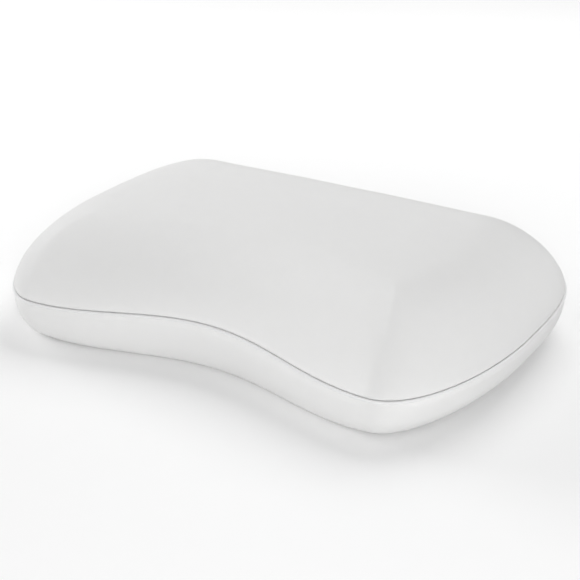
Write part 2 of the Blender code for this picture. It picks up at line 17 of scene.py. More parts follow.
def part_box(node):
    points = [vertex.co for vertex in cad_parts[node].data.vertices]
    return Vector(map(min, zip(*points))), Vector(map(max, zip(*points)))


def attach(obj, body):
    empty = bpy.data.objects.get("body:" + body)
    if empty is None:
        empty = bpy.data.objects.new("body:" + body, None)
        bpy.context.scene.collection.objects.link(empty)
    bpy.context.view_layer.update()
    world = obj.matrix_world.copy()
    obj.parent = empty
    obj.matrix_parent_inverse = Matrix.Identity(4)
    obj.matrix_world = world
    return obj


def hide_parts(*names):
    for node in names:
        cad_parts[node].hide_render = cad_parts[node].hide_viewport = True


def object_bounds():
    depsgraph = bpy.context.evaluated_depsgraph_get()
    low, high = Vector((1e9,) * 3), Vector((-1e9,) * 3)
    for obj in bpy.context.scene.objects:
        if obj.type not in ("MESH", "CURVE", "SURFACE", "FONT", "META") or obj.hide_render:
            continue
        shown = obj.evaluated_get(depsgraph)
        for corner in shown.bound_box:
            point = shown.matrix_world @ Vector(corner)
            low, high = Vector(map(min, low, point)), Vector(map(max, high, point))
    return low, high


bl_info = {
    "name": "Contour bed pillow",
    "version": (1, 0, 0),
    "blender": (4, 5, 0),
    "location": "3D View > Sidebar > Pillow",
    "description": "Models a contour pillow's cover, piping, liner, core and zip on its CAD frame",
    "category": "Add Mesh",
}

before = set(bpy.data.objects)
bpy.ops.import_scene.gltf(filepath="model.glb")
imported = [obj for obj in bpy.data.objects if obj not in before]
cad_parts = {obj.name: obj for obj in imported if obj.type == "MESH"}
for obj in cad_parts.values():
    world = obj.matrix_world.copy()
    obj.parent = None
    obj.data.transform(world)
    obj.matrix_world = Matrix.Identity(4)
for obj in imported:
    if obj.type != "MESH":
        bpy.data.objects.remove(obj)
CAD_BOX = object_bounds()

# ---------------------------------------------------------------- outline and section
PIPING_PROUD = 0.000987     # how far the piping stands outside the seam line
HALF_LENGTH = CAD_BOX[1].x - PIPING_PROUD
HALF_DEPTH = CAD_BOX[1].y - PIPING_PROUD
HEIGHT = CAD_BOX[1].z
BACK_STRAIGHT_HALF = 0.184
LOBE_X = 0.2115
WIDEST_Y = -0.007
NOTCH_DEPTH = 0.040
BACK_FULLNESS = 3.3
FRONT_FULLNESS = 2.0
SEAM_HEIGHT = 0.0545
SEAM_DIP = 0.0077
CROWN = 0.006
SHOULDER_WIDTH = 0.0993
SHOULDER_FULLNESS = 1.6
SHOULDER_EASE = 0.005       # width over which the shoulder's upper ridge is softened
BASE_ROUND = 0.014
BASE_ROUND_ENDS = 0.061
BASE_FULLNESS = 2.46
STRAIGHT_IN = 0.012         # depth up to which the rings lie straight in from the seam
SPINE_SHARE = 0.4           # length of the pillow's spine, which the rings close on further in
BASE_START = 0.033          # drop below the seam at which the wall's even rings start

# ---------------------------------------------------------------- seam
GAP = 0.0003
ALLOWANCE = 0.0090          # how far the turned-in edges reach in
TURN_RADIUS = 0.0033        # how roundly the cover turns in
TURN_LEVEL = 0.0041         # where the turn starts, above or below the seam
TURN_CENTRE = 0.0042        # depth of the turn's centre
PIPING_RADIUS = 0.00175
PIPING_CENTRE = PIPING_RADIUS - PIPING_PROUD
PIPING_CLOTH = 0.00035
PIPING_SLIT = 0.0003
PIPING_RIPPLE = 0.00003     # height of the piping's small unevenness
LINER_CLOTH = 0.0005
LINER_INSET = 0.0015
CORE_INSET = 0.0023
VENT_DIAMETER = 0.006
VENT_PITCH = (0.028, 0.030)
VENT_MARGIN = 0.062
DIMPLE_RADIUS = 0.0026
DIMPLE_LEVEL = 0.112        # height from which the top shows its dimples

# ---------------------------------------------------------------- zip
WINDOW_HALF = 0.156         # half the length of the opening that the zip closes
WINDOW_BLEND = 0.006        # how far past it the hem climbs back to the seam
HEM_TOP = 0.0098            # the hem's fold below the seam line
HEM_FACE = 0.0014           # depth of the hem's outer face
HEM_RADIUS = 0.00135
HEM_FLAP = 0.0165           # the hem's raw edge below the seam line
HEM_STITCH = 0.0132         # the hem's stitching below the seam line
THREAD = 0.00026            # radius of the sewing thread
HEM_SEWN = 0.0116           # the same, measured over the cloth from its raw edge
ZIP_LOW, ZIP_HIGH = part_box("zip_coil_lower")[0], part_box("zip_coil_upper")[1]
ZIP_Z = (ZIP_LOW.z + ZIP_HIGH.z) / 2
TAPE_FACE = 0.0044          # depth of the tapes' outer face
TAPE_CLOTH = 0.0005
TAPE_TUCK = 0.0043          # how far below the seam the upper tape's tails end
TAPE_TAIL = 0.162           # half the tapes' length
PLATE_OUTER = 0.0017        # depths of the slider's two plates
PLATE_INNER = 0.0052
PLATE = 0.0009
LIP = 0.00075
LIP_FOOT = 0.0041
WEDGE = 0.0033
BAIL = 0.0008
BAIL_REACH = 0.0039
SLIDER_OUTLINE = (0.74, 0.80, 0.92, 1.0, 0.94)     # half widths from the tail to the nose
PULL_ARM = 0.0011
POCKET_DEPTH = 0.0065
POCKET_HALF = 0.163
POCKET_FOOT = 0.0187
SLIDER_PLAY = 0.0002        # how far the slider's walls stop short of its plates
BARTACK_OUT = 0.0022        # from the opening's end to the bartack
BACK_Y = HALF_DEPTH

# ---------------------------------------------------------------- studio
AIM = (0, 0, 0.06)
CAMERA_SHIFT = (0.0058, -0.0351)
SOFT_LAMPS = (              # name, place, width and height, watts
    ("lamp_back_top", (0.0, 1.6, 2.0), (2.0, 1.6), 33.3),
    ("lamp_left", (-2.3, 0.0, 0.7), (1.6, 0.9), 32.8),
    ("lamp_right_back", (1.8, 1.5, 0.8), (1.4, 0.9), 4.0),
    ("lamp_right_front", (1.3, -1.9, 0.9), (1.0, 0.9), 29.4),
    ("lamp_front_low", (0.0, -2.3, 0.25), (2.0, 0.4), 1.6),
)


# ================================================================ settings
def length(name, description, default, low, high):
    return FloatProperty(
        name=name, description=description, default=default, min=low, max=high, unit="LENGTH")


def colour_of(name, description, default):
    return FloatVectorProperty(
        name=name, description=description, default=default, size=3, min=0, max=1,
        subtype="COLOR")


class CoverSettings(bpy.types.PropertyGroup):
    """The cloth, the seam and the foam."""
    spacing: length("Spacing", "Distance between mesh stations along the seam",
        0.0029, 0.002, 0.01)
    cloth: length("Cloth thickness", "Thickness of the knit cover",
        0.0012, 0.0005, 0.003)
    pressure: FloatProperty(
        name="Pressure", description="Pressure of the foam on the cover in the cloth simulation",
        default=1.5, min=0.0, max=20.0)
    give: FloatProperty(
        name="Give", description="Share of the simulated movement that the foam allows",
        default=0.4, min=0.0, max=1.0)
    swell: length("Largest swell", "How far the simulation may move a point of the cover",
        0.002, 0.0, 0.01)
    voxel: length("Simulation grain", "Voxel size of the mesh that is simulated",
        0.006, 0.004, 0.02)
    dimple: length("Vent dimples", "Depth of the cover's dimples over the core's vents",
        0.00022, 0.0, 0.002)
    pucker: length("Seam pucker", "Depth of the puckers along the seams",
        0.00014, 0.0, 0.002)
    wale: length("Wale width", "Width of one column of knit stitches",
        0.0009, 0.0003, 0.003)
    colour: colour_of("Cover colour", "Colour of the knit cover", (0.872, 0.872, 0.868))
    piping_colour: colour_of("Piping colour", "Colour of the piping's knit", (0.86, 0.86, 0.865))
    liner_colour: colour_of("Liner colour", "Colour of the tricot liner", (0.74, 0.74, 0.73))
    foam_colour: colour_of("Foam colour", "Colour of the memory foam", (0.80, 0.77, 0.68))


class ZipSettings(bpy.types.PropertyGroup):
    """The zip and its stitching."""
    pitch: length("Coil pitch", "Distance between neighbouring turns of a coil",
        0.00108, 0.0008, 0.002)
    filament: length("Filament", "Thickness of the coil's filament",
        0.00052, 0.0003, 0.001)
    stitch: length("Stitch length", "Length of one lockstitch",
        0.0027, 0.001, 0.005)
    coil_colour: colour_of("Coil colour", "Colour of the nylon coils", (0.78, 0.78, 0.77))
    tape_colour: colour_of("Tape colour", "Colour of the woven tapes and the thread", (0.77, 0.77, 0.76))
    metal_colour: colour_of("Metal colour", "Colour of the slider, pull and stops", (0.70, 0.70, 0.68))


class StudioSettings(bpy.types.PropertyGroup):
    """The camera and the lights."""
    azimuth: FloatProperty(
        name="Azimuth", description="Camera's turn round the pillow from the front",
        default=math.radians(31.42), subtype="ANGLE")
    elevation: FloatProperty(
        name="Elevation", description="Camera's angle above the floor",
        default=math.radians(23.66), subtype="ANGLE")
    distance: FloatProperty(
        name="Distance", description="Camera's distance from the middle of the pillow",
        default=1.5426, min=0.5, unit="LENGTH")
    lens: FloatProperty(
        name="Focal length", description="Camera's focal length in millimetres",
        default=83.37, min=10)
    sky: FloatProperty(
        name="Sky", description="Strength of the even light from all round", default=0.3137, min=0)
    power: FloatProperty(
        name="Lamps", description="Power of the soft lamps, as a share of the standard one",
        default=1.0, min=0, subtype="FACTOR")


# ================================================================ the seam line
def evenly(points, steps):
    """Points at equal distances along a fine line, both ends included."""
    run = np.concatenate([[0], np.cumsum(np.linalg.norm(np.diff(points, axis=0), axis=1))])
    at = np.linspace(0, run[-1], steps + 1)
    return np.stack([np.interp(at, run, points[:, k]) for k in (0, 1)], 1)


def seam_line(spacing):
    """The seam line in plan, from the middle of the back clockwise, at even spacing."""
    quarter = np.linspace(0, math.pi / 2, 900)
    back, front = HALF_DEPTH - WIDEST_Y, HALF_DEPTH + WIDEST_Y
    x = np.linspace(LOBE_X, 0, 500)
    straight = np.array([(0.0, HALF_DEPTH), (BACK_STRAIGHT_HALF, HALF_DEPTH)])
    corner_back = np.stack([
        BACK_STRAIGHT_HALF + (HALF_LENGTH - BACK_STRAIGHT_HALF) * np.sin(quarter),
        WIDEST_Y + back * np.abs(np.cos(quarter)) ** (2 / BACK_FULLNESS)], 1)
    corner_front = np.stack([
        LOBE_X + (HALF_LENGTH - LOBE_X) * np.cos(quarter),
        WIDEST_Y - front * np.sin(quarter) ** (2 / FRONT_FULLNESS)], 1)
    notch = np.stack([
        x, -HALF_DEPTH + NOTCH_DEPTH * np.cos(math.pi * x / (2 * LOBE_X)) ** 2], 1)
    half = np.concatenate([straight[:1], corner_back, corner_front[1:], notch[1:]])
    length = np.sum(np.linalg.norm(np.diff(half, axis=0), axis=1))
    half = evenly(half, 2 * round(length / spacing / 2))    # so that the whole is in fours
    return np.concatenate([half, (half[::-1] * (-1, 1))[1:-1]])


def smooth(value):
    """A smooth step from 0 to 1."""
    t = np.clip(value, 0, 1)
    return t * t * (3 - 2 * t)


class Layout:
    """The stations round the seam, and the rings of every layer through them."""

    def __init__(self, spacing):
        self.line = seam_line(spacing)
        self.count = len(self.line)
        along = np.roll(self.line, -1, axis=0) - np.roll(self.line, 1, axis=0)
        self.inward = np.stack([along[:, 1], -along[:, 0]], 1) / np.linalg.norm(
            along, axis=1)[:, None]
        step = np.linalg.norm(np.roll(self.line, -1, axis=0) - self.line, axis=1)
        self.run = np.concatenate([[0], np.cumsum(step)[:-1]])
        self.length = float(np.sum(step))
        across = np.abs(self.line[:, 0])
        lobe = np.clip((across - LOBE_X) / (HALF_LENGTH - LOBE_X), 0, 1)
        dip = np.where(
            across <= LOBE_X, np.sin(math.pi * across / (2 * LOBE_X)) ** 2, 1 - lobe ** 2)
        self.seam_z = SEAM_HEIGHT - SEAM_DIP * np.where(self.line[:, 1] < WIDEST_Y, dip, 0)
        self.window = np.where(
            self.line[:, 1] > HALF_DEPTH - GAP,
            1 - smooth((across - WINDOW_HALF + 0.0015) / WINDOW_BLEND), 0)
        self.pocket = np.where(
            self.line[:, 1] > HALF_DEPTH - GAP, 1 - smooth((across - POCKET_HALF) / WINDOW_BLEND), 0)
        self.measure_spokes()

    def measure_spokes(self):
        """Distances from the seam line at points on a spoke from each station."""
        tree = KDTree(self.count)
        for k, (x, y) in enumerate(self.line):
            tree.insert((x, y, 0), k)
        tree.balance()
        self.reach = np.linspace(0, 1, 48)
        self.foot = self.line + self.inward * STRAIGHT_IN
        self.spine = np.stack([self.line[:, 0] * SPINE_SHARE, np.zeros(self.count)], 1)
        spots = self.foot[:, None] + (self.spine - self.foot)[:, None] * self.reach[:, None]
        far = np.array([tree.find((x, y, 0))[2] for x, y in spots.reshape(-1, 2)])
        self.far = np.maximum.accumulate(far.reshape(self.count, -1), axis=1)

    def at_depth(self, depth):
        """For each station, the plan point at this distance in from the seam line."""
        depth = np.broadcast_to(np.asarray(depth, float), (self.count,))
        close = self.line + self.inward * np.minimum(depth, STRAIGHT_IN)[:, None]
        share = np.array([np.interp(d, f, self.reach) for d, f in zip(depth, self.far)])
        further = self.foot + (self.spine - self.foot) * share[:, None]
        return np.where((depth > STRAIGHT_IN)[:, None], further, close)

    def lift(self, plan, z):
        return np.concatenate([plan, np.broadcast_to(z, (self.count,))[:, None]], 1)

    def near_seam(self, depth, rise):
        """A ring at a depth behind the seam line and a rise above it."""
        depth = np.broadcast_to(np.asarray(depth, float), (self.count,))
        return self.lift(self.line + self.inward * depth[:, None], self.seam_z + rise)

    def dome(self, turn):
        """A ring of the top, from 0 at the seam to a quarter turn where the shoulder ends."""
        share = math.sin(turn) ** (2 / SHOULDER_FULLNESS)
        plan = self.at_depth(SHOULDER_WIDTH * (1 - abs(math.cos(turn)) ** (2 / SHOULDER_FULLNESS)))
        crown = CROWN * (1 - (plan[:, 0] / HALF_LENGTH) ** 2)
        rise = (HEIGHT - SEAM_HEIGHT - CROWN + crown) * share
        return self.lift(plan, SEAM_HEIGHT + rise + (self.seam_z - SEAM_HEIGHT) * (1 - share))

    def wall(self, turn):
        """A ring of the bottom, from 0 at the seam to a quarter turn on the flat base."""
        turn = np.broadcast_to(np.asarray(turn, float), (self.count,))
        share = np.sin(turn) ** (2 / BASE_FULLNESS)
        width = BASE_ROUND + BASE_ROUND_ENDS * (self.line[:, 0] / HALF_LENGTH) ** 4
        plan = self.at_depth(width * (1 - np.abs(np.cos(turn)) ** (2 / BASE_FULLNESS)))
        return self.lift(plan, self.seam_z * (1 - share))

    def turned_in(self, side, edge, steps):
        """The cover's edge, from its raw end in the seam round to its outer face."""
        rings = [self.near_seam(edge, side * (TURN_LEVEL - TURN_RADIUS)),
                 self.near_seam((edge + TURN_CENTRE) / 2, side * (TURN_LEVEL - TURN_RADIUS))]
        for k in range(steps + 1):
            turn = math.pi / 2 * k / steps
            rings.append(self.near_seam(TURN_CENTRE - TURN_RADIUS * math.sin(turn),
                                        side * (TURN_LEVEL - TURN_RADIUS * math.cos(turn))))
        return rings


def spaced(ring_at, low, high, spacing, probe):
    """Parameters between low and high whose rings lie about evenly apart at one station."""
    fine = np.linspace(low, high, 160)
    points = np.array([ring_at(t)[probe] for t in fine])
    run = np.concatenate([[0], np.cumsum(np.linalg.norm(np.diff(points, axis=0), axis=1))])
    return np.interp(np.linspace(0, run[-1], round(run[-1] / spacing) + 1), run, fine)


def normals_of(rings, outward):
    """Unit normals of a grid of rings, turned to agree with a rough outward direction."""
    rings = np.asarray(rings)
    along = np.roll(rings, -1, axis=1) - np.roll(rings, 1, axis=1)
    normal = np.cross(np.gradient(rings, axis=0), along)
    normal /= np.maximum(np.linalg.norm(normal, axis=2), 1e-12)[:, :, None]
    return normal * outward


# ================================================================ soft pieces
def top_rings(layout, middle_spacing):
    """The outer face of the cover's top, from its raw edge to near its centre."""
    rings = layout.turned_in(1, ALLOWANCE, 5)
    probe = layout.count // 8
    for turn in spaced(layout.dome, math.radians(9), math.pi / 2, 0.0038, probe):
        rings.append(layout.dome(float(turn)))
    last = rings[-1]
    inner = round(0.105 / middle_spacing)
    for share in np.linspace(1, 0, inner + 1)[1:-1]:
        plan = last[:, :2] * share
        rings.append(layout.lift(plan, HEIGHT - CROWN * (plan[:, 0] / HALF_LENGTH) ** 2))
    return eased(np.array(rings), 14, SHOULDER_EASE)


def eased(rings, first, width):
    """Rings with their profile averaged over a width, which softens the shoulder's ridge."""
    step = np.linalg.norm(np.diff(rings, axis=0), axis=2).mean(1)
    share = smooth(np.arange(-first, len(rings) - first) / 8.0)[:, None, None]
    for _ in range(int((width / step[first:first + 30].mean()) ** 2 * 2)):
        middle = (rings[:-2] + rings[2:]) / 2
        rings[1:-1] += (middle - rings[1:-1]) * share[1:-1] * 0.5
    return rings


def bottom_rings(layout, hemmed=True):
    """The outer face of the cover's bottom, with the hem that the zip's opening ends on."""
    def wall_below(drop):
        return layout.wall(np.arcsin((drop / layout.seam_z) ** (BASE_FULLNESS / 2)))

    plain = layout.turned_in(-1, ALLOWANCE, 7)
    for drop, pull in ((0.0066, 0.0003), (0.0094, 0.0001), (0.0126, 0.0), (0.0160, 0.0)):
        ring = wall_below(drop)
        ring[:, :2] += layout.inward * pull
        plain.append(ring)
    fold = HEM_FACE + HEM_RADIUS
    level = HEM_TOP + HEM_RADIUS
    hem = [(fold + HEM_RADIUS, -HEM_FLAP), (fold + HEM_RADIUS, -(level + HEM_FLAP) / 2)]
    hem += [(fold + HEM_RADIUS * math.cos(a), -level + HEM_RADIUS * math.sin(a))
            for a in np.linspace(0, math.pi, 8)]
    hem += [(HEM_FACE, -level - k) for k in (0.0014, 0.0028, 0.0044, 0.0060)]
    window = layout.window * hemmed
    rings = [ring * (1 - window[:, None]) + layout.near_seam(depth, rise) * window[:, None]
             for ring, (depth, rise) in zip(plain, hem)]
    for drop in np.linspace(0.0195, 0.0305, 5):
        ring = wall_below(drop)
        pull = HEM_FACE * smooth((0.034 - drop) / 0.015)
        ring[:, :2] += layout.inward * (window * pull)[:, None]
        rings.append(ring)
    first = np.arcsin((BASE_START / layout.seam_z) ** (BASE_FULLNESS / 2))
    begin = float(np.mean(first))
    for turn in spaced(layout.wall, begin, math.pi / 2, 0.0042, layout.count // 4):
        share = (float(turn) - begin) / (math.pi / 2 - begin)
        rings.append(layout.wall(first + (math.pi / 2 - first) * share))
    last = rings[-1]
    for share in np.linspace(1, 0, 26)[1:-1]:
        rings.append(layout.lift(last[:, :2] * share, 0.0))
    return np.array(rings)


def wave(run, length, *parts):
    """A sum of sines round the seam. Each part is (waves round the pillow, height, phase)."""
    turn = 2 * math.pi * run / length
    return sum(height * np.sin(turn * waves + phase) for waves, height, phase in parts)


class Swell:
    """How the foam's pressure moves the cover, from a cloth simulation of its closed form."""

    def __init__(self, layout, top, bottom, settings):
        self.cap = settings.swell
        self.tree = None
        rest, self.shift = simulate(layout, top, bottom, settings)
        self.tree = KDTree(len(rest))
        for k, point in enumerate(rest):
            self.tree.insert(point, k)
        self.tree.balance()

    def move(self, rings, fade):
        """Rings moved with the cloth. fade is 1 where they may move and 0 on a seam."""
        if self.tree is None:
            return rings
        flat = rings.reshape(-1, 3)
        out = np.empty_like(flat)
        for k, point in enumerate(flat):
            found = self.tree.find_n(point, 8)
            weights = np.array([1 / (f[2] + 0.003) ** 2 for f in found])
            out[k] = weights @ self.shift[[f[1] for f in found]] / weights.sum()
        size = np.linalg.norm(out, axis=1)[:, None]
        out *= np.minimum(1, self.cap / np.maximum(size, 1e-9))
        return rings + out.reshape(rings.shape) * fade[..., None]


def simulate(layout, top, bottom, settings):
    """Rest points of the closed cover, and how far its cloth simulation moves each one."""
    bm = bmesh.new()
    body = np.concatenate([bottom[::-1][::2, ::4], top[9::2, ::4]])
    rows = [[bm.verts.new(p) for p in ring] for ring in body]
    for row, upper in zip(rows, rows[1:]):
        for i in range(len(row)):
            j = (i + 1) % len(row)
            bm.faces.new((row[i], row[j], upper[j], upper[i]))
    for row in (rows[0], rows[-1]):
        bm.faces.new(row)
    bmesh.ops.recalc_face_normals(bm, faces=bm.faces)
    form = new_piece("cloth_form", bm)
    remesh = form.modifiers.new("grain", "REMESH")
    remesh.mode = "VOXEL"
    remesh.voxel_size = settings.voxel
    apply_all(form)
    rest = coordinates(form.data)
    held = form.vertex_groups.new(name="held")
    tree = KDTree(layout.count)
    for k, p in enumerate(layout.near_seam(0, 0)):
        tree.insert(p, k)
    tree.balance()
    for k, p in enumerate(rest):
        from_seam = tree.find(p)[2]
        hold = 1 - smooth((from_seam - 0.010) / 0.012)
        hold = max(float(hold), float(1 - smooth(p[2] / 0.006)))
        if hold > 0:
            held.add([k], hold, "REPLACE")
    cloth = form.modifiers.new("cloth", "CLOTH")
    knit = cloth.settings
    knit.quality = 5
    knit.mass = 0.3
    knit.tension_stiffness = knit.compression_stiffness = 40
    knit.shear_stiffness = 20
    knit.bending_stiffness = 2
    knit.vertex_group_mass = "held"
    knit.use_pressure = True
    knit.uniform_pressure_force = settings.pressure
    knit.effector_weights.gravity = 0
    scene = bpy.context.scene
    scene.frame_start, scene.frame_end = 1, 20
    for number in range(1, 21):
        scene.frame_set(number)
    shown = form.evaluated_get(bpy.context.evaluated_depsgraph_get())
    shift = coordinates(shown.data) - rest
    edges = np.array([edge.vertices[:] for edge in form.data.edges])
    bpy.data.objects.remove(form)
    scene.frame_set(1)
    return rest, relaxed(shift, edges, 14) * settings.give


def relaxed(values, edges, rounds):
    """Values averaged with those of their neighbours, round after round."""
    links = np.bincount(edges.ravel(), minlength=len(values))[:, None] + 1
    for _ in range(rounds):
        total = values.copy()
        np.add.at(total, edges[:, 0], values[edges[:, 1]])
        np.add.at(total, edges[:, 1], values[edges[:, 0]])
        values = total / links
    return values


def coordinates(mesh):
    points = np.empty(len(mesh.vertices) * 3)
    mesh.vertices.foreach_get("co", points)
    return points.reshape(-1, 3)


def new_piece(name, bm):
    """An object at the origin from a bmesh."""
    mesh = bpy.data.meshes.new(name)
    bm.to_mesh(mesh)
    bm.free()
    piece = bpy.data.objects.new(name, mesh)
    bpy.context.scene.collection.objects.link(piece)
    return piece


def apply_all(piece):
    """Apply every modifier of a piece in turn."""
    bpy.ops.object.select_all(action="DESELECT")
    bpy.context.view_layer.objects.active = piece
    piece.select_set(True)
    for modifier in list(piece.modifiers):
        bpy.ops.object.modifier_apply(modifier=modifier.name)


def flat_pattern(rings, layout):
    """Cloth coordinates of a panel: each ring unrolled outwards from its last one."""
    step = np.linalg.norm(np.diff(rings, axis=0), axis=2)
    spot = rings[-1][:, :2].copy()
    pattern = [spot]
    outward = -layout.inward
    for k in range(len(rings) - 2, -1, -1):
        level = np.linalg.norm(rings[k][:, :2] - rings[k + 1][:, :2], axis=1)
        plan = rings[k][:, :2] - rings[k + 1][:, :2]
        spot = spot + plan + outward * np.maximum(step[k] - level, 0)[:, None]
        pattern.append(spot)
    return np.array(pattern[::-1])


def cloth_panel(name, outer, thickness, outward, pattern, centre, coarse=2):
    """A closed shell: an outer grid, an inner grid of every second point, and its raw edge."""
    normal = normals_of(outer, outward)
    inner = (outer - normal * thickness)[::coarse, ::coarse]
    if (len(outer) - 1) % coarse:
        inner = np.concatenate([inner, (outer - normal * thickness)[-1:, ::coarse]])
    bm = bmesh.new()
    uv = bm.loops.layers.uv.new("cloth")
    place = {}

    def grid(points, spots, turn):
        rows = [[bm.verts.new(p) for p in ring] for ring in points]
        for row, ring in zip(rows, spots):
            place.update(zip(row, ring))
        middle = bm.verts.new(points[-1].mean(0) * (1, 0, 1) if centre is None else centre)
        place[middle] = spots[-1].mean(0)
        for i in range(len(rows[0])):
            j = (i + 1) % len(rows[0])
            for row, further in zip(rows, rows[1:]):
                bm.faces.new((row[i], row[j], further[j], further[i])[::turn])
            bm.faces.new((rows[-1][i], rows[-1][j], middle)[::turn])
        return rows

    turn = 1 if outward_turn(outer, normal) else -1
    outer_rows = grid(outer, pattern, turn)
    spots = pattern[::coarse, ::coarse]
    if len(spots) < len(inner):
        spots = np.concatenate([spots, pattern[-1:, ::coarse]])
    shift = normal[-1].mean(0) * thickness
    centre = None if centre is None else Vector(centre) - Vector(shift)
    inner_rows = grid(inner, spots, -turn)
    edge, back = outer_rows[0], inner_rows[0]
    count = len(edge)
    for i in range(0, count, 2):
        a, b, c = edge[i], edge[i + 1], edge[(i + 2) % count]
        d, e = back[i // 2], back[(i // 2 + 1) % len(back)]
        for corners in ((a, d, b), (b, d, e), (b, e, c)):
            bm.faces.new(corners[::turn])
    for face in bm.faces:
        for loop in face.loops:
            loop[uv].uv = place[loop.vert]
    piece = new_piece(name, bm)
    piece.data.shade_smooth()
    return piece


def outward_turn(outer, normal):
    """Whether a face's corners in station order, then ring order, already face outwards."""
    a, b, c = outer[3, 0], outer[3, 1], outer[4, 1]
    return float(np.dot(np.cross(b - a, c - a), normal[3, 0])) > 0


def seam_strip(name, layout, section, ripple=0.0):
    """A closed loop round the seam, from one closed section of (depth, rise) points."""
    section = np.array(section)
    bm = bmesh.new()
    uv = bm.loops.layers.uv.new("cloth")
    wobble = wave(layout.run, layout.length, (151, ripple, 0.4), (97, ripple, 2.1), (223, ripple, 4.0))
    rows = [[bm.verts.new(p) for p in layout.near_seam(d, r + wobble)] for d, r in section]
    girth = np.concatenate([[0], np.cumsum(np.linalg.norm(
        np.roll(section, -1, axis=0) - section, axis=1))])
    count = layout.count
    for k, row in enumerate(rows):
        further = rows[(k + 1) % len(rows)]
        for i in range(count):
            j = (i + 1) % count
            face = bm.faces.new((row[i], row[j], further[j], further[i]))
            end = layout.run[j] if j else layout.length
            spots = ((layout.run[i], girth[k]), (end, girth[k]),
                     (end, girth[k + 1]), (layout.run[i], girth[k + 1]))
            for loop, spot in zip(face.loops, spots):
                loop[uv].uv = spot
    bmesh.ops.recalc_face_normals(bm, faces=bm.faces)
    piece = new_piece(name, bm)
    piece.data.shade_smooth()
    return piece


# ================================================================ materials
class Wire:
    """A socket of a material's node tree that Python's operators add Math nodes to."""

    def __init__(self, tree, socket):
        self.tree, self.socket = tree, socket

    def math(self, operation, *values):
        return self.tree.node("ShaderNodeMath", {"operation": operation}, dict(enumerate(values)))

    def __add__(self, other):
        return self.math("ADD", self, other)

    def __sub__(self, other):
        return self.math("SUBTRACT", self, other)

    def __rsub__(self, other):
        return self.math("SUBTRACT", other, self)

    def __mul__(self, other):
        return self.math("MULTIPLY", self, other)

    def __truediv__(self, other):
        return self.math("DIVIDE", self, other)

    def __gt__(self, other):
        return self.math("GREATER_THAN", self, other)

    def __mod__(self, other):
        return self.math("FLOORED_MODULO", self, other)

    __radd__, __rmul__ = __add__, __mul__

    def sin(self):
        return self.math("SINE", self)

    def size(self):
        return self.math("ABSOLUTE", self)

    def clamp(self):
        return self.tree.node("ShaderNodeClamp", {}, {"Value": self})


class Finish:
    """A material under construction round one Principled BSDF."""

    def __init__(self, name, roughness=0.8, **constants):
        self.material = bpy.data.materials.new(name)
        self.material.use_nodes = True
        self.nodes = self.material.node_tree.nodes
        self.shader = self.nodes["Principled BSDF"]
        self.shader.inputs["Roughness"].default_value = roughness
        for socket, value in constants.items():
            self.shader.inputs[socket.replace("_", " ")].default_value = value

    def node(self, kind, settings=None, sockets=None, out=0):
        """Any node: its type, its settings, then the values or links of its sockets."""
        node = self.nodes.new(kind)
        for name, value in (settings or {}).items():
            setattr(node, name, value)
        for key, value in (sockets or {}).items():
            if isinstance(value, Wire):
                self.material.node_tree.links.new(value.socket, node.inputs[key])
            else:
                node.inputs[key].default_value = value
        return Wire(self, node.outputs[out])

    def set(self, socket, wire):
        self.material.node_tree.links.new(wire.socket, self.shader.inputs[socket])

    def place(self, uv=False):
        """Object coordinates in metres, or the piece's own cloth coordinates."""
        if uv:
            return self.node("ShaderNodeUVMap", {"uv_map": "cloth"})
        return self.node("ShaderNodeTexCoord", out="Object")

    def parts(self, vector):
        """The three numbers of a vector."""
        self.node("ShaderNodeSeparateXYZ", {}, {0: vector})
        outputs = self.nodes[-1].outputs
        return [Wire(self, outputs[k]) for k in range(3)]

    def noise(self, place, scale, detail=2.0, roughness=0.5):
        return self.node("ShaderNodeTexNoise", {}, {
            "Vector": place, "Scale": scale, "Detail": detail, "Roughness": roughness})

    def blend(self, factor, low, high):
        """A colour between two, or between a colour and a wire's."""
        pair = [c if isinstance(c, Wire) else (*c, 1.0) for c in (low, high)]
        return self.node("ShaderNodeMix", {"data_type": "RGBA"},
                         {0: factor, 6: pair[0], 7: pair[1]}, out=2)

    def bump(self, height, distance, strength=1.0):
        self.set("Normal", self.node("ShaderNodeBump", {}, {
            "Height": height, "Distance": distance, "Strength": strength}))


def shade(colour, share):
    return tuple(c * share for c in colour)


def knit_stitches(across, along, wale, course):
    """Height of jersey knit from 0 to 1: columns of V-shaped stitches."""
    column = (across / wale) % 1.0 - 0.5
    lean = column.size()
    row = (along / course + lean * 0.9) % 1.0
    leg = 1 - ((lean - 0.25) * 4).size()
    crown = (row * math.pi).sin()
    return (leg * 1.6).clamp() * (crown * 0.65 + 0.35)


def knit_finish(name, colour, wale, depth, sheen=0.25):
    """Fine jersey knit with a soft nap, and painted shade in the gaps between its stitches."""
    finish = Finish(name, 0.9, Sheen_Weight=sheen, Sheen_Roughness=0.45, Specular_IOR_Level=0.25)
    place = finish.place(uv=True)
    across, along, _ = finish.parts(place)
    stitches = knit_stitches(across, along, wale, wale * 0.78)
    yarn = finish.noise(place, 1 / (wale * 0.45), 3.0, 0.6)
    slub = finish.noise(place, 55.0, 3.0, 0.55)
    cast = finish.noise(place, 7.0, 2.0, 0.5)
    # Painted shade: the colour darkens in the gaps between the stitches, where the knit is lowest. The
    # slub and yarn terms are the yarn's own uneven tone.
    stitch_shade_and_yarn_tone = (1 - stitches) * 0.09 + (slub - 0.5) * 0.05 + (yarn - 0.5) * 0.06
    tone = finish.blend(cast, shade(colour, 0.992), (colour[0] * 1.006, colour[1] * 1.004, colour[2]))
    finish.set("Base Color", finish.blend(stitch_shade_and_yarn_tone.clamp(), tone, shade(colour, 0.55)))
    finish.set("Roughness", 0.86 + (yarn - 0.5) * 0.12 - stitches * 0.04)
    finish.bump(stitches + yarn * 0.35 + slub * 0.5, depth)
    return finish.material


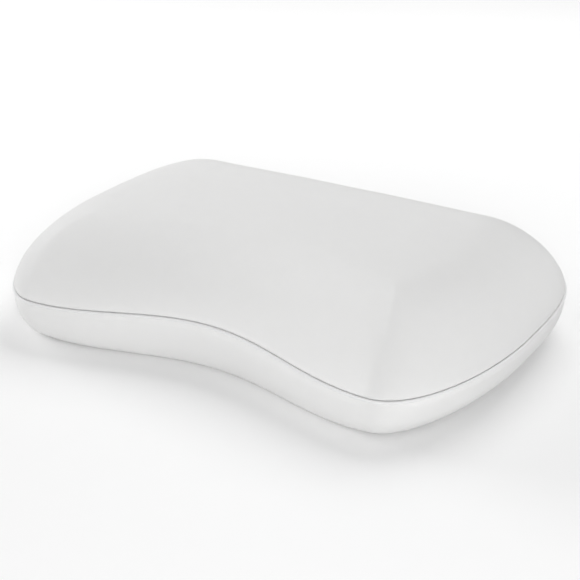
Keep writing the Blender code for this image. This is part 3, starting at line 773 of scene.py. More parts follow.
def tricot_finish(name, colour):
    """Thin warp knit: narrow ribs with a faint sheen."""
    finish = Finish(name, 0.75, Sheen_Weight=0.15, Specular_IOR_Level=0.3)
    place = finish.place()
    x, y, z = finish.parts(place)
    ribs = (x * (2 * math.pi / 0.0007)).sin() * 0.5 + 0.5
    loops = ((y + z) * (2 * math.pi / 0.0005)).sin() * 0.5 + 0.5
    fuzz = finish.noise(place, 900.0, 2.0)
    finish.set("Base Color", finish.blend(
        (ribs * 0.12 + fuzz * 0.1).clamp(), colour, shade(colour, 0.7)))
    finish.set("Roughness", 0.66 + fuzz * 0.2)
    finish.bump(ribs * 0.6 + loops * 0.3 + fuzz * 0.3, 0.00008)
    return finish.material


def foam_finish(name, colour):
    """Moulded foam: a fine open cell with a few larger pores."""
    finish = Finish(name, 0.95, Specular_IOR_Level=0.2, Sheen_Weight=0.1)
    place = finish.place()
    cells = finish.node("ShaderNodeTexVoronoi", {"feature": "F1"}, {"Vector": place, "Scale": 1300.0})
    pores = finish.node("ShaderNodeTexVoronoi", {"feature": "F1"}, {"Vector": place, "Scale": 240.0})
    cloud = finish.noise(place, 14.0, 3.0)
    # The larger pores: the bump sinks them and the colour darkens them, which is painted shade in their
    # hollows.
    pore_hollow_and_shade = (1 - pores * 6).clamp()
    finish.set("Base Color", finish.blend(
        (pore_hollow_and_shade * 0.35 + (cloud - 0.4) * 0.25 + cells * 0.15).clamp(), colour,
        (colour[0] * 0.8, colour[1] * 0.74, colour[2] * 0.6)))
    finish.set("Roughness", 0.88 + cells * 0.1)
    finish.bump(cells - pore_hollow_and_shade * 0.8 + cloud * 0.3, 0.0003)
    return finish.material


def cord_finish(name, colour):
    """Soft twisted filler cord."""
    finish = Finish(name, 0.9, Specular_IOR_Level=0.2)
    place = finish.place(uv=True)
    run, girth, _ = finish.parts(place)
    plies = ((run / 0.0032 + girth / 0.0042) * (2 * math.pi)).sin() * 0.5 + 0.5
    fibre = finish.noise(place, 2200.0, 3.0)
    # The colour is lighter on the raised plies and darker in the grooves between them, which is painted
    # shade.
    finish.set("Base Color", finish.blend(
        (plies * 0.3 + fibre * 0.2).clamp(), shade(colour, 0.8), colour))
    finish.set("Roughness", 0.82 + fibre * 0.15)
    finish.bump(plies + fibre * 0.3, 0.0002)
    return finish.material


def tape_finish(name, colour):
    """Herringbone woven tape: twill that changes its slant from band to band."""
    finish = Finish(name, 0.8, Specular_IOR_Level=0.3, Sheen_Weight=0.15)
    place = finish.place()
    x, _, z = finish.parts(place)
    band = ((z / 0.0016) % 2.0 - 1.0).size()
    twill = ((x / 0.00062 + band * 1.3) * (2 * math.pi)).sin() * 0.5 + 0.5
    warp = ((z / 0.00032) * (2 * math.pi)).sin() * 0.5 + 0.5
    fibre = finish.noise(place, 2600.0, 2.0)
    # The low lines of the twill and the warp are painted darker, which is painted shade in the weave's
    # grooves. The fibre noise is the yarn's own tone.
    finish.set("Base Color", finish.blend(
        ((1 - twill) * 0.14 + (1 - warp) * 0.06 + (fibre - 0.5) * 0.1).clamp(), colour,
        shade(colour, 0.5)))
    finish.set("Roughness", 0.7 + fibre * 0.2)
    finish.bump(twill * 0.8 + warp * 0.4 + fibre * 0.2, 0.00011)
    return finish.material


def thread_finish(name, colour):
    """Twisted sewing thread."""
    finish = Finish(name, 0.6, Specular_IOR_Level=0.35, Sheen_Weight=0.2)
    place = finish.place()
    x, y, z = finish.parts(place)
    twist = ((x + z * 0.8 + y * 0.4) * (2 * math.pi / 0.00035)).sin() * 0.5 + 0.5
    fibre = finish.noise(place, 4200.0, 2.0)
    # The grooves of the twist are painted darker, which is painted shade.
    finish.set("Base Color", finish.blend((1 - twist) * 0.2, colour, shade(colour, 0.6)))
    finish.set("Roughness", 0.5 + fibre * 0.25)
    finish.bump(twist, 0.00005)
    return finish.material


def nylon_finish(name, colour):
    """Drawn nylon filament: smooth, milky, with faint drawing lines."""
    finish = Finish(name, 0.35, Coat_Weight=0.15, Coat_Roughness=0.25)
    place = finish.place()
    grain = finish.noise(place, 1500.0, 3.0)
    milk = finish.noise(place, 90.0, 2.0)
    finish.set("Base Color", finish.blend(milk, shade(colour, 0.93), colour))
    finish.set("Roughness", 0.28 + grain * 0.2)
    finish.bump(grain, 0.00003)
    return finish.material


def metal_finish(name, colour):
    """Tumbled nickel plate: soft mottling, fine scratches and darker hollows."""
    finish = Finish(name, 0.3, Metallic=0.9)
    place = finish.place()
    mottle = finish.noise(place, 650.0, 4.0, 0.6)
    stretched = finish.node("ShaderNodeMapping", {}, {
        "Vector": place, "Rotation": (0.2, 0.5, 0.9), "Scale": (500.0, 9000.0, 6000.0)})
    scratch = finish.noise(stretched, 1.0, 2.0)
    lines = ((scratch - 0.62) * 8).clamp()
    worn = finish.node("ShaderNodeNewGeometry", out="Pointiness")
    edge = ((worn - 0.51) * 12).clamp()
    base = finish.blend((mottle * 0.5).clamp(), colour, shade(colour, 0.78))
    finish.set("Base Color", finish.blend(edge * 0.6, base, (0.86, 0.85, 0.82)))
    finish.set("Roughness", 0.24 + mottle * 0.2 + lines * 0.15 - edge * 0.06)
    finish.bump(mottle * 0.4 - lines * 0.3, 0.00003)
    return finish.material


def floor_finish(name):
    """Matt white floor with a very faint grain."""
    finish = Finish(name, 0.9, Specular_IOR_Level=0.0)
    grain = finish.noise(finish.place(), 30.0, 2.0)
    finish.set("Base Color", finish.blend(grain, (0.945, 0.945, 0.945), (0.955, 0.955, 0.955)))
    return finish.material


def dress(piece, material, slot, body, *replaced):
    """Give a piece its finish and its body, and hide the CAD nodes that it stands for."""
    piece.data.materials.clear()
    piece.data.materials.append(material)
    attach(piece, body)
    if replaced:
        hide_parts(*replaced)
    return piece


# ================================================================ hard pieces, by operators
def start(name, x, depth, z, sides):
    """A box at its size and place: middle X, middle depth behind the seam line, middle Z."""
    bpy.ops.object.select_all(action="DESELECT")
    bpy.ops.mesh.primitive_cube_add(size=1, location=(x, BACK_Y - depth, z))
    piece = bpy.context.object
    piece.name = piece.data.name = name
    piece.scale = sides
    bpy.ops.object.transform_apply(location=True, rotation=True, scale=True)
    return piece


def pick(piece, wanted, kind="VERT"):
    """Enter edit mode with the elements selected whose middle passes a test."""
    bpy.ops.object.select_all(action="DESELECT")
    bpy.context.view_layer.objects.active = piece
    piece.select_set(True)
    bpy.ops.object.mode_set(mode="EDIT")
    bpy.ops.mesh.select_mode(type=kind)
    bpy.ops.mesh.select_all(action="DESELECT")
    bm = bmesh.from_edit_mesh(piece.data)
    for item in {"VERT": bm.verts, "EDGE": bm.edges, "FACE": bm.faces}[kind]:
        corners = [item.co] if kind == "VERT" else [v.co for v in item.verts]
        if wanted(sum(corners, Vector()) / len(corners), item):
            item.select_set(True)
    bm.select_flush_mode()
    bmesh.update_edit_mesh(piece.data)


def done():
    bpy.ops.object.mode_set(mode="OBJECT")


def round_off(piece, width, segments=3, angle=35):
    """Round a piece's edges with an applied bevel and smooth its shading."""
    bevel = piece.modifiers.new("edges", "BEVEL")
    bevel.width = width
    bevel.segments = segments
    bevel.limit_method = "ANGLE"
    bevel.angle_limit = math.radians(angle)
    apply_all(piece)
    bpy.ops.object.shade_smooth_by_angle(angle=math.radians(50))
    return piece


def cut_across(piece, places):
    """Cut a piece at right angles to X at each place, without removing anything."""
    for x in places:
        pick(piece, lambda middle, item: True)
        bpy.ops.mesh.bisect(plane_co=(x, 0, 0), plane_no=(1, 0, 0))
        done()


def repeat(piece, count, offset):
    """Copies of a piece's mesh at even steps, applied."""
    copies = piece.modifiers.new("copies", "ARRAY")
    copies.count = count
    copies.use_relative_offset = False
    copies.use_constant_offset = True
    copies.constant_offset_displace = offset
    apply_all(piece)


def joined(name, parts):
    """One piece from several."""
    bpy.ops.object.select_all(action="DESELECT")
    for part in parts:
        part.select_set(True)
    bpy.context.view_layer.objects.active = parts[0]
    bpy.ops.object.join()
    parts[0].name = parts[0].data.name = name
    return parts[0]


def stitch(name, x, depth, z, length, radius, slant=0.0):
    """One raised stitch along X: a small ball drawn out to a capsule."""
    bpy.ops.object.select_all(action="DESELECT")
    bpy.ops.mesh.primitive_uv_sphere_add(
        segments=6, ring_count=5, radius=radius, location=(x, BACK_Y - depth, z),
        rotation=(0, math.pi / 2, 0))
    piece = bpy.context.object
    piece.name = piece.data.name = name
    bpy.ops.object.transform_apply(location=True, rotation=True, scale=True)
    for side in (-1, 1):
        pick(piece, lambda middle, _: (middle.x - x) * side > radius * 0.3)
        bpy.ops.transform.translate(value=(side * (length / 2 - radius), -radius * 0.3, side * slant))
        done()
    return piece


def stitch_row(name, x_low, x_high, depth, z, pitch, radius):
    """A row of lockstitches along X."""
    row = stitch(name, x_low + pitch / 2, depth, z, pitch * 0.86, radius, radius * 0.25)
    repeat(row, int((x_high - x_low) / pitch), (pitch, 0, 0))
    bpy.ops.object.shade_smooth()
    return row


def bartack(name, x):
    """A dense bar of short stitches across one end of the zip's opening."""
    bar = stitch(name, x, 0.0004, SEAM_HEIGHT - HEM_STITCH, 0.0028, THREAD, 0.00014)
    repeat(bar, 21, (0, 0, 0.00044))
    bpy.ops.object.shade_smooth()
    return bar


# ================================================================ operators
WORK = []


def prepare(settings):
    """The layouts, the cover's rings and the cloth simulation, worked out once."""
    if not WORK:
        layout = Layout(settings.spacing * (1.0))
        inner = Layout(settings.spacing * (2.0))
        top = top_rings(layout, 0.0026)
        bottom = bottom_rings(layout)
        WORK.extend((layout, inner, top, bottom, Swell(layout, top, bottom, settings)))
    return WORK


def fade_from_seam(rings, start, end):
    """0 at the seam, 1 from a distance on, for each point of a grid, and that distance."""
    run = np.concatenate([np.zeros((1, rings.shape[1])), np.cumsum(
        np.linalg.norm(np.diff(rings, axis=0), axis=2), axis=0)])
    return smooth((run - start) / (end - start)), run


def pucker_fade(run, start, full, length):
    """How strong the puckers are: from where they start, full, then dying out over a length."""
    return smooth((run - start) / 0.004) * np.exp(-np.maximum(run - full, 0) / length)


class PILLOW_OT_cover_top(bpy.types.Operator):
    """Knit top panel of the cover, shaped by a cloth simulation"""
    bl_idname = "pillow.cover_top"
    bl_label = "Cover top"

    def execute(self, context):
        settings = context.scene.pillow_cover
        layout, _, top, _, swell = prepare(settings)
        fade, run = fade_from_seam(top, 0.008, 0.030)
        outer = swell.move(top, fade)
        normal = normals_of(outer, outward_sign(top, 1))
        near = pucker_fade(run, 0.006, 0.010, 0.007)
        ripple = wave(layout.run, layout.length, (149, 1, 0.3), (113, 0.8, 1.9), (71, 0.6, 4.4))
        outer = outer + normal * (near * ripple * settings.pucker)[..., None]
        outer = outer - normal * (dimples(outer) * settings.dimple)[..., None]
        centre = outer[-1].mean(0)
        pattern = flat_pattern(top, layout)
        panel = cloth_panel("cover_top", outer, settings.cloth, outward_sign(top, 1),
                            pattern, tuple(centre))
        cover = knit_finish("knit_top", tuple(settings.colour), settings.wale, 0.00016)
        dress(panel, cover, "knit_cover", "pillow", "cover_top_panel")
        return {"FINISHED"}


def outward_sign(rings, up):
    """The sign that turns a grid's computed normals outwards."""
    normal = normals_of(rings, 1)[-4].mean(0)
    return 1.0 if normal[2] * up > 0 else -1.0


def dimples(points):
    """How much of a vent dimple each point lies in, on the flat part of the top."""
    x = (points[..., 0] / VENT_PITCH[0] + 0.5) % 1 - 0.5
    y = (points[..., 1] / VENT_PITCH[1] + 0.5) % 1 - 0.5
    from_vent = np.hypot(x * VENT_PITCH[0], y * VENT_PITCH[1])
    level = smooth((points[..., 2] - DIMPLE_LEVEL) / 0.010)
    return np.exp(-(from_vent / DIMPLE_RADIUS) ** 2) * level


class PILLOW_OT_cover_bottom(bpy.types.Operator):
    """Knit bottom panel of the cover, hemmed along the zip's opening"""
    bl_idname = "pillow.cover_bottom"
    bl_label = "Cover bottom"

    def execute(self, context):
        settings = context.scene.pillow_cover
        layout, _, _, bottom, swell = prepare(settings)
        fade, run = fade_from_seam(bottom, 0.012, 0.030)
        fade = fade * (1 - layout.window * smooth((0.034 - run) / 0.010))
        sign = outward_sign(bottom, -1)
        outer = swell.move(bottom, fade)
        normal = normals_of(outer, sign)
        near = pucker_fade(run, 0.006, 0.010, 0.008)
        hem = pucker_fade(run, 0.0125, 0.016, 0.007)
        ripple = wave(layout.run, layout.length, (139, 1, 2.3), (101, 0.8, 0.2), (67, 0.6, 5.1))
        near = near * (1 - layout.window) + hem * layout.window * 1.6
        sewn = np.exp(-((run - HEM_SEWN) / 0.0011) ** 2) * layout.window
        shift = near * ripple * settings.pucker - sewn * 0.00015
        outer = outer + normal * shift[..., None]
        outer[..., 2] = np.maximum(outer[..., 2], 0)
        pattern = flat_pattern(bottom, layout)
        panel = cloth_panel("cover_bottom", outer, settings.cloth, sign, pattern, (0, 0, 0))
        cover = knit_finish("knit_bottom", tuple(settings.colour), settings.wale, 0.00016)
        dress(panel, cover, "knit_cover", "pillow", "cover_bottom_panel")
        return {"FINISHED"}


class PILLOW_OT_piping(bpy.types.Operator):
    """Piping in the seam: bias-cut knit wrapped round a twisted filler cord"""
    bl_idname = "pillow.piping"
    bl_label = "Piping"

    def execute(self, context):
        settings = context.scene.pillow_cover
        layout = prepare(settings)[0]
        inner = PIPING_RADIUS - PIPING_CLOTH
        slit = PIPING_SLIT / 2
        level = slit + PIPING_CLOTH
        mouths = (math.asin(level / PIPING_RADIUS), math.asin(slit / inner))
        section = [(ALLOWANCE, level)]
        for radius, mouth, steps, turned in (
                (PIPING_RADIUS, mouths[0], 18, False), (inner, mouths[1], 12, True)):
            around = np.linspace(mouth, 2 * math.pi - mouth, steps + 1)
            around = around[::-1] if turned else around
            section += [(PIPING_CENTRE + radius * math.cos(a), radius * math.sin(a)) for a in around]
            section += [(ALLOWANCE, -level), (ALLOWANCE, -slit)] if not turned else [(ALLOWANCE, slit)]
        wrap = seam_strip("piping_cloth", layout, section, PIPING_RIPPLE)
        dress(wrap, knit_finish("piping_knit_bias", tuple(settings.piping_colour), 0.0006, 0.0001),
              "piping_knit", "pillow", "piping_wrap")
        cord = inner - 2 * GAP
        filler = seam_strip("piping_filler", layout, [
            (PIPING_CENTRE + cord * math.cos(a), cord * math.sin(a))
            for a in np.linspace(0, 2 * math.pi, 10, endpoint=False)])
        dress(filler, cord_finish("filler_twist", (0.80, 0.79, 0.76)), "filler_cord", "pillow",
              "piping_cord")
        return {"FINISHED"}


def inner_layer(layout, up, inset, reach, level, swell):
    """A grid that lies an even distance inside the cover, set back behind the zip."""
    rings = top_rings(layout, 0.006) if up > 0 else bottom_rings(layout, hemmed=False)
    turned = 8 if up > 0 else 10
    fade, _ = fade_from_seam(rings, 0.008, 0.030)
    body = swell.move(rings, fade)
    body = (body - normals_of(body, outward_sign(rings, up)) * inset)[turned:]
    radius = TURN_RADIUS - inset
    edge = [layout.near_seam(reach, up * level)]
    edge += [layout.near_seam(TURN_CENTRE - radius * math.sin(a),
                              up * (TURN_LEVEL - radius * math.cos(a)))
             for a in np.linspace(0, math.pi / 2, 4)]
    grid = np.concatenate([np.array(edge), body])
    if up < 0:
        drop = layout.seam_z - grid[..., 2]
        depth = np.einsum("rsk,sk->rs", grid[..., :2] - layout.line, layout.inward)
        hollow = POCKET_DEPTH + inset - LINER_INSET
        wanted = hollow * (1 - smooth((drop - POCKET_FOOT) / 0.010))
        push = np.maximum(wanted - depth, 0) * layout.pocket
        grid[..., :2] += layout.inward * push[..., None]
    grid[..., 2] = np.maximum(grid[..., 2], inset)
    return grid


class PILLOW_OT_liner(bpy.types.Operator):
    """Thin tricot liner in two halves, between the cover and the core"""
    bl_idname = "pillow.liner"
    bl_label = "Liner"

    def execute(self, context):
        settings = context.scene.pillow_cover
        _, inner, _, _, swell = prepare(settings)
        finish = tricot_finish("tricot", tuple(settings.liner_colour))
        for name, up, node in (("liner_upper", 1, "liner_top"), ("liner_lower", -1, "liner_bottom")):
            outer = inner_layer(inner, up, LINER_INSET, ALLOWANCE + GAP,
                                TURN_LEVEL - TURN_RADIUS + LINER_INSET, swell)
            half = cloth_panel(name, outer, LINER_CLOTH, outward_sign(outer, up),
                               flat_pattern(outer, inner), tuple(outer[-1].mean(0)))
            dress(half, finish, "liner_tricot", "pillow", node)
        return {"FINISHED"}


class PILLOW_OT_core(bpy.types.Operator):
    """Moulded memory-foam core, pierced by a grid of vents"""
    bl_idname = "pillow.core"
    bl_label = "Foam core"

    def execute(self, context):
        settings = context.scene.pillow_cover
        _, inner, _, _, swell = prepare(settings)
        groove = ALLOWANCE + GAP + LINER_CLOTH + GAP
        level = TURN_LEVEL - TURN_RADIUS + CORE_INSET
        upper = inner_layer(inner, 1, CORE_INSET, groove, level, swell)
        lower = inner_layer(inner, -1, CORE_INSET, groove, level, swell)
        grid = np.concatenate([lower[::-1], upper])
        bm = bmesh.new()
        rows = [[bm.verts.new(p) for p in ring] for ring in grid]
        for i in range(inner.count):
            j = (i + 1) % inner.count
            for row, above in zip(rows, rows[1:]):
                bm.faces.new((row[i], row[j], above[j], above[i]))
        for row in (rows[0], rows[-1]):
            middle = bm.verts.new(sum((v.co for v in row), Vector()) / len(row))
            for i in range(inner.count):
                bm.faces.new((row[i], row[(i + 1) % inner.count], middle))
        bmesh.ops.recalc_face_normals(bm, faces=bm.faces)
        core = new_piece("core_foam", bm)
        pins = vent_pins(inner)
        vents = core.modifiers.new("vents", "BOOLEAN")
        vents.object = pins
        apply_all(core)
        bpy.data.objects.remove(pins)
        core.data.shade_smooth()
        bpy.ops.object.shade_smooth_by_angle(angle=math.radians(50))
        dress(core, foam_finish("foam", tuple(settings.foam_colour)), "memory_foam", "pillow",
              "foam_core")
        return {"FINISHED"}


def vent_pins(layout):
    """One cutter with all the mould's pins, on a grid inside the core's bare border."""
    columns, lanes = (int(half / pitch) for half, pitch in zip((HALF_LENGTH, HALF_DEPTH), VENT_PITCH))
    bm = bmesh.new()
    for i in range(-columns, columns + 1):
        for j in range(-lanes, lanes + 1):
            spot = np.array((i * VENT_PITCH[0], j * VENT_PITCH[1]))
            away = np.linalg.norm(layout.line - spot, axis=1)
            near = int(np.argmin(away))
            inside = np.dot(spot - layout.line[near], layout.inward[near]) > 0
            if inside and away[near] > VENT_MARGIN:
                pin = bmesh.ops.create_cone(bm, cap_ends=True, segments=10, radius1=VENT_DIAMETER / 2,
                                            radius2=VENT_DIAMETER / 2, depth=HEIGHT * 1.4)
                bmesh.ops.translate(bm, verts=pin["verts"], vec=(*spot, HEIGHT / 2))
    return new_piece("vent_pins", bm)


class PILLOW_OT_tapes(bpy.types.Operator):
    """Herringbone tapes of the zip, and the stitching that holds them"""
    bl_idname = "pillow.tapes"
    bl_label = "Zip tapes and stitching"

    def execute(self, context):
        settings = context.scene.pillow_zip
        colour = tuple(settings.tape_colour)
        tape, thread = tape_finish("tape_weave", colour), thread_finish("thread", colour)
        for side, node in (("upper", "zip_tape_upper"), ("lower", "zip_tape_lower")):
            low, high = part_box(node)
            top = SEAM_HEIGHT - TAPE_TUCK if side == "upper" else high.z
            strip = start("tape_" + side, 0, TAPE_FACE + TAPE_CLOTH / 2, (low.z + top) / 2,
                          (2 * TAPE_TAIL, TAPE_CLOTH, top - low.z))
            if side == "upper":
                pick(strip, lambda m, f: f.normal.z > 0.9, "FACE")
                bpy.ops.mesh.bisect(plane_co=(low.x, 0, 0), plane_no=(1, 0, 0))
                done()
                parts = [strip, start("flange", 0, (TAPE_FACE + ALLOWANCE) / 2,
                                      high.z - TAPE_CLOTH / 2,
                                      (high.x - low.x, ALLOWANCE - TAPE_FACE, TAPE_CLOTH)),
                         start("web", 0, TAPE_FACE + TAPE_CLOTH / 2,
                               (top + high.z) / 2 - TAPE_CLOTH / 2,
                               (high.x - low.x, TAPE_CLOTH, high.z - top))]
                strip = joined("tape_" + side, parts)
            round_off(strip, 0.00012, 2)
            dress(strip, tape, "zip_tape", "pillow", node)
        hem = stitch_row("hem_stitches", -0.1525, 0.1525, HEM_FACE + 0.00005,
                         SEAM_HEIGHT - HEM_STITCH, settings.stitch, THREAD)
        dress(hem, thread, "zip_tape", "pillow")
        end = WINDOW_HALF + BARTACK_OUT
        for name, x in (("bartack_left", -end), ("bartack_right", end)):
            dress(bartack(name, x), thread, "zip_tape", "pillow")
        return {"FINISHED"}


class PILLOW_OT_coils(bpy.types.Operator):
    """Interlocked nylon coils of the zip"""
    bl_idname = "pillow.coils"
    bl_label = "Zip coils"

    def execute(self, context):
        settings = context.scene.pillow_zip
        nylon = nylon_finish("nylon", tuple(settings.coil_colour))
        for side, name in ((-1, "lower"), (1, "upper")):
            node = "zip_coil_" + name
            low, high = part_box(node)
            heel = low.z if side < 0 else high.z
            head = ZIP_Z - side * 0.00034
            thin = settings.filament / 2
            radius = (high.y - low.y) / 2 - thin
            x = low.x + settings.pitch * (0.5 if side < 0 else 1.0)
            middle = (x, (low.y + high.y) / 2, (heel + head) / 2)
            bpy.ops.object.select_all(action="DESELECT")
            bpy.ops.mesh.primitive_torus_add(
                location=middle, rotation=(0, math.pi / 2, 0), major_segments=10, minor_segments=4,
                major_radius=radius, minor_radius=thin)
            loop = context.object
            loop.name = loop.data.name = "coil_" + name
            bpy.ops.object.transform_apply(location=True, rotation=True, scale=True)
            stretch = abs(heel - head) / 2 - radius - thin
            for way in (-1, 1):
                pick(loop, lambda m, _: (m.z - middle[2]) * way > 1e-6)
                bpy.ops.transform.translate(value=(0, 0, way * stretch))
                done()
            pick(loop, lambda m, _: True)
            bpy.ops.transform.rotate(value=math.radians(7 * side), orient_axis="Y",
                                     center_override=middle)
            done()
            repeat(loop, int((high.x - low.x) / settings.pitch) - 1, (settings.pitch, 0, 0))
            bpy.ops.object.shade_smooth()
            dress(loop, nylon, "zip_coil", "pillow", node)
        return {"FINISHED"}


def waist(piece, low, length, shape):
    """Shape a piece at five places along X. shape takes each place and its width share."""
    shares = (0, 0.25, 0.5, 0.75, 1)
    cut_across(piece, [low.x + length * k for k in shares[1:-1]])
    for k, width in zip(shares, SLIDER_OUTLINE):
        x = low.x + length * k
        pick(piece, lambda m, _: abs(m.x - x) < 1e-5)
        shape(x, width)
        done()
    return piece


class PILLOW_OT_slider(bpy.types.Operator):
    """Zip slider: two waisted plates with side lips, a wedge and a bail"""
    bl_idname = "pillow.slider"
    bl_label = "Zip slider"

    def execute(self, context):
        low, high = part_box("zip_slider")
        middle = (low.x + high.x) / 2
        length, half = high.x - low.x, (high.z - low.z) / 2
        parts = []
        for name, depth in (("front_plate", PLATE_OUTER), ("back_plate", PLATE_INNER)):
            plate = start(name, middle, depth + PLATE / 2, ZIP_Z, (length, PLATE, 2 * half))
            parts.append(waist(plate, low, length, lambda x, width: bpy.ops.transform.resize(
                value=(1, 1, width), center_override=(x, 0, ZIP_Z))))
        for side in (-1, 1):
            lip = start("lip", middle, (PLATE_OUTER + LIP_FOOT) / 2 + SLIDER_PLAY,
                        ZIP_Z + side * (half - LIP / 2),
                        (length, LIP_FOOT - PLATE_OUTER - 2 * SLIDER_PLAY, LIP))
            parts.append(waist(lip, low, length, lambda x, width: bpy.ops.transform.translate(
                value=(0, 0, -side * half * (1 - width)))))
        nose = high.x - LIP - WEDGE / 2
        wedge = start("wedge", nose, (PLATE_OUTER + PLATE_INNER + PLATE) / 2, ZIP_Z,
                      (WEDGE, PLATE_INNER + PLATE - PLATE_OUTER - 2 * SLIDER_PLAY, 0.0020))
        pick(wedge, lambda m, _: m.x < nose)
        bpy.ops.transform.resize(value=(1, 1, 0.25), center_override=(0, 0, ZIP_Z))
        done()
        parts.append(wedge)
        bail = start("bail", middle, -(high.y - BACK_Y) + BAIL / 2, ZIP_Z,
                     (2 * BAIL_REACH, BAIL, 0.0016))
        cut_across(bail, [middle - BAIL_REACH + BAIL, middle + BAIL_REACH - BAIL])
        under = BACK_Y - high.y + BAIL
        pick(bail, lambda m, f: f.normal.y < -0.9 and abs(m.x - middle) > BAIL_REACH - BAIL, "FACE")
        bpy.ops.mesh.extrude_region_move(
            TRANSFORM_OT_translate={"value": (0, -(PLATE_OUTER - under + SLIDER_PLAY), 0)})
        done()
        pick(bail, lambda m, _: m.y > high.y - 0.0001
             and abs(m.x - middle) > BAIL_REACH - 0.0001, "EDGE")
        bpy.ops.mesh.bevel(offset=0.0005, segments=4)
        done()
        parts.append(bail)
        slider = round_off(joined("slider_cast", parts), 0.00016, 3)
        dress(slider, metal_finish("nickel_slider", tuple(context.scene.pillow_zip.metal_colour)),
              "zip_metal", "slider", "zip_slider")
        return {"FINISHED"}


class PILLOW_OT_pull(bpy.types.Operator):
    """Zip pull: a waisted tab with a recessed grip and two arms that hold its pin"""
    bl_idname = "pillow.pull"
    bl_label = "Zip pull"

    def execute(self, context):
        low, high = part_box("zip_pull")
        pin_x = high.x - 0.0005
        eye = pin_x - 0.0045
        grip_end = low.x + 0.0105
        depth = BACK_Y - (low.y + high.y) / 2
        thick, half = high.y - low.y, (high.z - low.z) / 2
        tab = start("pull_tab", (low.x + eye) / 2, depth, ZIP_Z, (eye - low.x, thick, 2 * half))
        bpy.ops.object.mode_set(mode="EDIT")
        for z in (ZIP_Z - half + PULL_ARM, ZIP_Z + half - PULL_ARM):
            bpy.ops.mesh.select_all(action="SELECT")
            bpy.ops.mesh.bisect(plane_co=(0, 0, z), plane_no=(0, 0, 1))
        done()
        pick(tab, lambda m, f: f.normal.x > 0.9 and abs(m.z - ZIP_Z) > half - PULL_ARM, "FACE")
        bpy.ops.mesh.extrude_region_move(TRANSFORM_OT_translate={"value": (pin_x - eye, 0, 0)})
        done()
        waists = ((low.x + 0.0062, 0.90), (grip_end, 0.80), (eye - 0.0022, 0.86))
        cut_across(tab, [low.x + 0.0028, *(x for x, _ in waists)])
        for x, width in waists:
            pick(tab, lambda m, _: abs(m.x - x) < 1e-5)
            bpy.ops.transform.resize(value=(1, 1, width), center_override=(x, 0, ZIP_Z))
            done()
        pick(tab, lambda m, e: abs(m.x - low.x) < 1e-5 and abs(m.z - ZIP_Z) > half - 1e-5
             and abs(e.verts[0].co.y - e.verts[1].co.y) > thick / 2, "EDGE")
        bpy.ops.mesh.bevel(offset=0.0020, segments=6)
        done()
        for way in (-1, 1):
            pick(tab, lambda m, f: f.normal.y * way > 0.9 and low.x + 0.0020 < m.x < grip_end
                 and abs(m.z - ZIP_Z) < half, "FACE")
            bpy.ops.mesh.inset(thickness=0.0006, depth=-0.00022)
            done()
        bpy.ops.object.select_all(action="DESELECT")
        bpy.ops.mesh.primitive_cylinder_add(vertices=20, radius=0.0005, depth=2 * half - 0.0001,
                                            location=(pin_x, BACK_Y - depth, ZIP_Z))
        pin = context.object
        bpy.ops.object.transform_apply(location=True, rotation=True, scale=True)
        pull = round_off(joined("pull_tab", [tab, pin]), 0.00012, 3)
        dress(pull, metal_finish("nickel_pull", tuple(context.scene.pillow_zip.metal_colour)),
              "zip_metal", "pull", "zip_pull")
        return {"FINISHED"}


class PILLOW_OT_stops(bpy.types.Operator):
    """Crimped stops at the ends of the chain"""
    bl_idname = "pillow.stops"
    bl_label = "Zip stops"

    def execute(self, context):
        metal = metal_finish("nickel_stops", tuple(context.scene.pillow_zip.metal_colour))
        for node in ("zip_top_stop_upper", "zip_top_stop_lower", "zip_bottom_stop"):
            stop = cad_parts[node].copy()
            stop.data = stop.data.copy()
            stop.parent = None
            for key in list(stop.keys()):
                del stop[key]
            stop.name = stop.data.name = node.replace("zip_", "crimped_")
            context.scene.collection.objects.link(stop)
            pick(stop, lambda m, _: True)
            bpy.ops.mesh.remove_doubles(threshold=0.00001)
            bpy.ops.mesh.dissolve_limited(angle_limit=math.radians(5))
            done()
            round_off(stop, 0.00018, 3)
            dress(stop, metal, "zip_metal", "pillow", node)
        return {"FINISHED"}


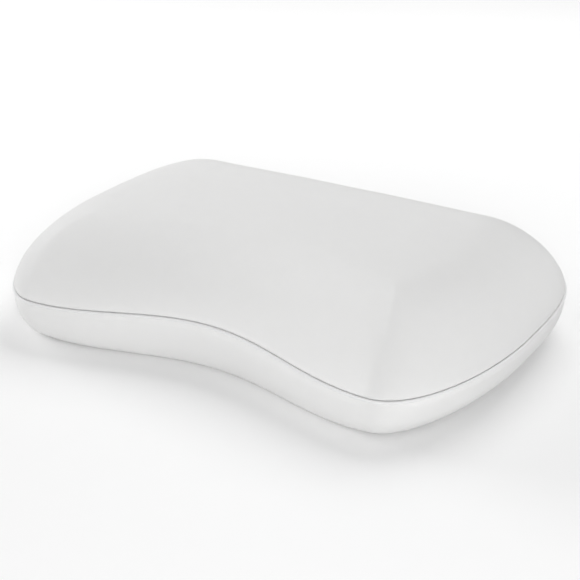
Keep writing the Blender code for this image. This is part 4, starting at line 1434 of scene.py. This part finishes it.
class PILLOW_OT_stage(bpy.types.Operator):
    """White floor, soft lights and the camera"""
    bl_idname = "pillow.stage"
    bl_label = "Stage"

    def execute(self, context):
        scene = context.scene
        settings = scene.pillow_studio
        bpy.ops.object.select_all(action="DESELECT")
        bpy.ops.mesh.primitive_plane_add(size=14, location=(0, 0, -0.0002))
        floor = context.object
        floor.name = "floor"
        bpy.ops.object.transform_apply(location=True, rotation=True, scale=True)
        floor.data.materials.append(floor_finish("floor_white"))
        world = bpy.data.worlds.new("studio")
        world.use_nodes = True
        sky = world.node_tree.nodes["Background"].inputs
        sky["Color"].default_value = (1, 1, 1, 1)
        sky["Strength"].default_value = settings.sky
        scene.world = world
        aim = Vector(AIM)
        for name, place, sides, power in SOFT_LAMPS:
            lamp = bpy.data.lights.new(name, "AREA")
            lamp.shape = "RECTANGLE"
            lamp.size, lamp.size_y = sides
            lamp.energy = power * settings.power
            light = bpy.data.objects.new(name, lamp)
            light.location = place
            light.rotation_euler = (aim - light.location).to_track_quat("-Z", "Y").to_euler()
            scene.collection.objects.link(light)
        away = Vector((math.sin(settings.azimuth) * math.cos(settings.elevation),
                       -math.cos(settings.azimuth) * math.cos(settings.elevation),
                       math.sin(settings.elevation)))
        camera = bpy.data.objects.new("camera", bpy.data.cameras.new("camera"))
        camera.data.sensor_width = 36
        camera.data.lens = settings.lens
        camera.data.shift_x, camera.data.shift_y = CAMERA_SHIFT
        camera.location = aim + away * settings.distance
        camera.rotation_euler = (-away).to_track_quat("-Z", "Y").to_euler()
        scene.collection.objects.link(camera)
        scene.camera = camera
        scene.view_settings.view_transform = "Standard"
        return {"FINISHED"}


OPERATORS = (
    PILLOW_OT_stage, PILLOW_OT_cover_top, PILLOW_OT_cover_bottom, PILLOW_OT_piping,
    PILLOW_OT_liner, PILLOW_OT_core, PILLOW_OT_tapes, PILLOW_OT_coils, PILLOW_OT_slider,
    PILLOW_OT_pull, PILLOW_OT_stops)


class PILLOW_PT_panel(bpy.types.Panel):
    """The pillow's pieces and their settings"""
    bl_label = "Contour pillow"
    bl_idname = "PILLOW_PT_panel"
    bl_space_type = "VIEW_3D"
    bl_region_type = "UI"
    bl_category = "Pillow"

    def draw(self, context):
        for operator in OPERATORS:
            self.layout.operator(operator.bl_idname)
        for group in (context.scene.pillow_cover, context.scene.pillow_zip,
                      context.scene.pillow_studio):
            box = self.layout.box()
            for name in group.__annotations__:
                box.prop(group, name)


CLASSES = (CoverSettings, ZipSettings, StudioSettings, *OPERATORS, PILLOW_PT_panel)


def register():
    for cls in CLASSES:
        bpy.utils.register_class(cls)
    bpy.types.Scene.pillow_cover = PointerProperty(type=CoverSettings)
    bpy.types.Scene.pillow_zip = PointerProperty(type=ZipSettings)
    bpy.types.Scene.pillow_studio = PointerProperty(type=StudioSettings)


def unregister():
    del bpy.types.Scene.pillow_studio
    del bpy.types.Scene.pillow_zip
    del bpy.types.Scene.pillow_cover
    for cls in reversed(CLASSES):
        bpy.utils.unregister_class(cls)


def main():
    register()
    for operator in OPERATORS:
        group, name = operator.bl_idname.split(".")
        getattr(getattr(bpy.ops, group), name)()


if __name__ == "__main__":
    main()
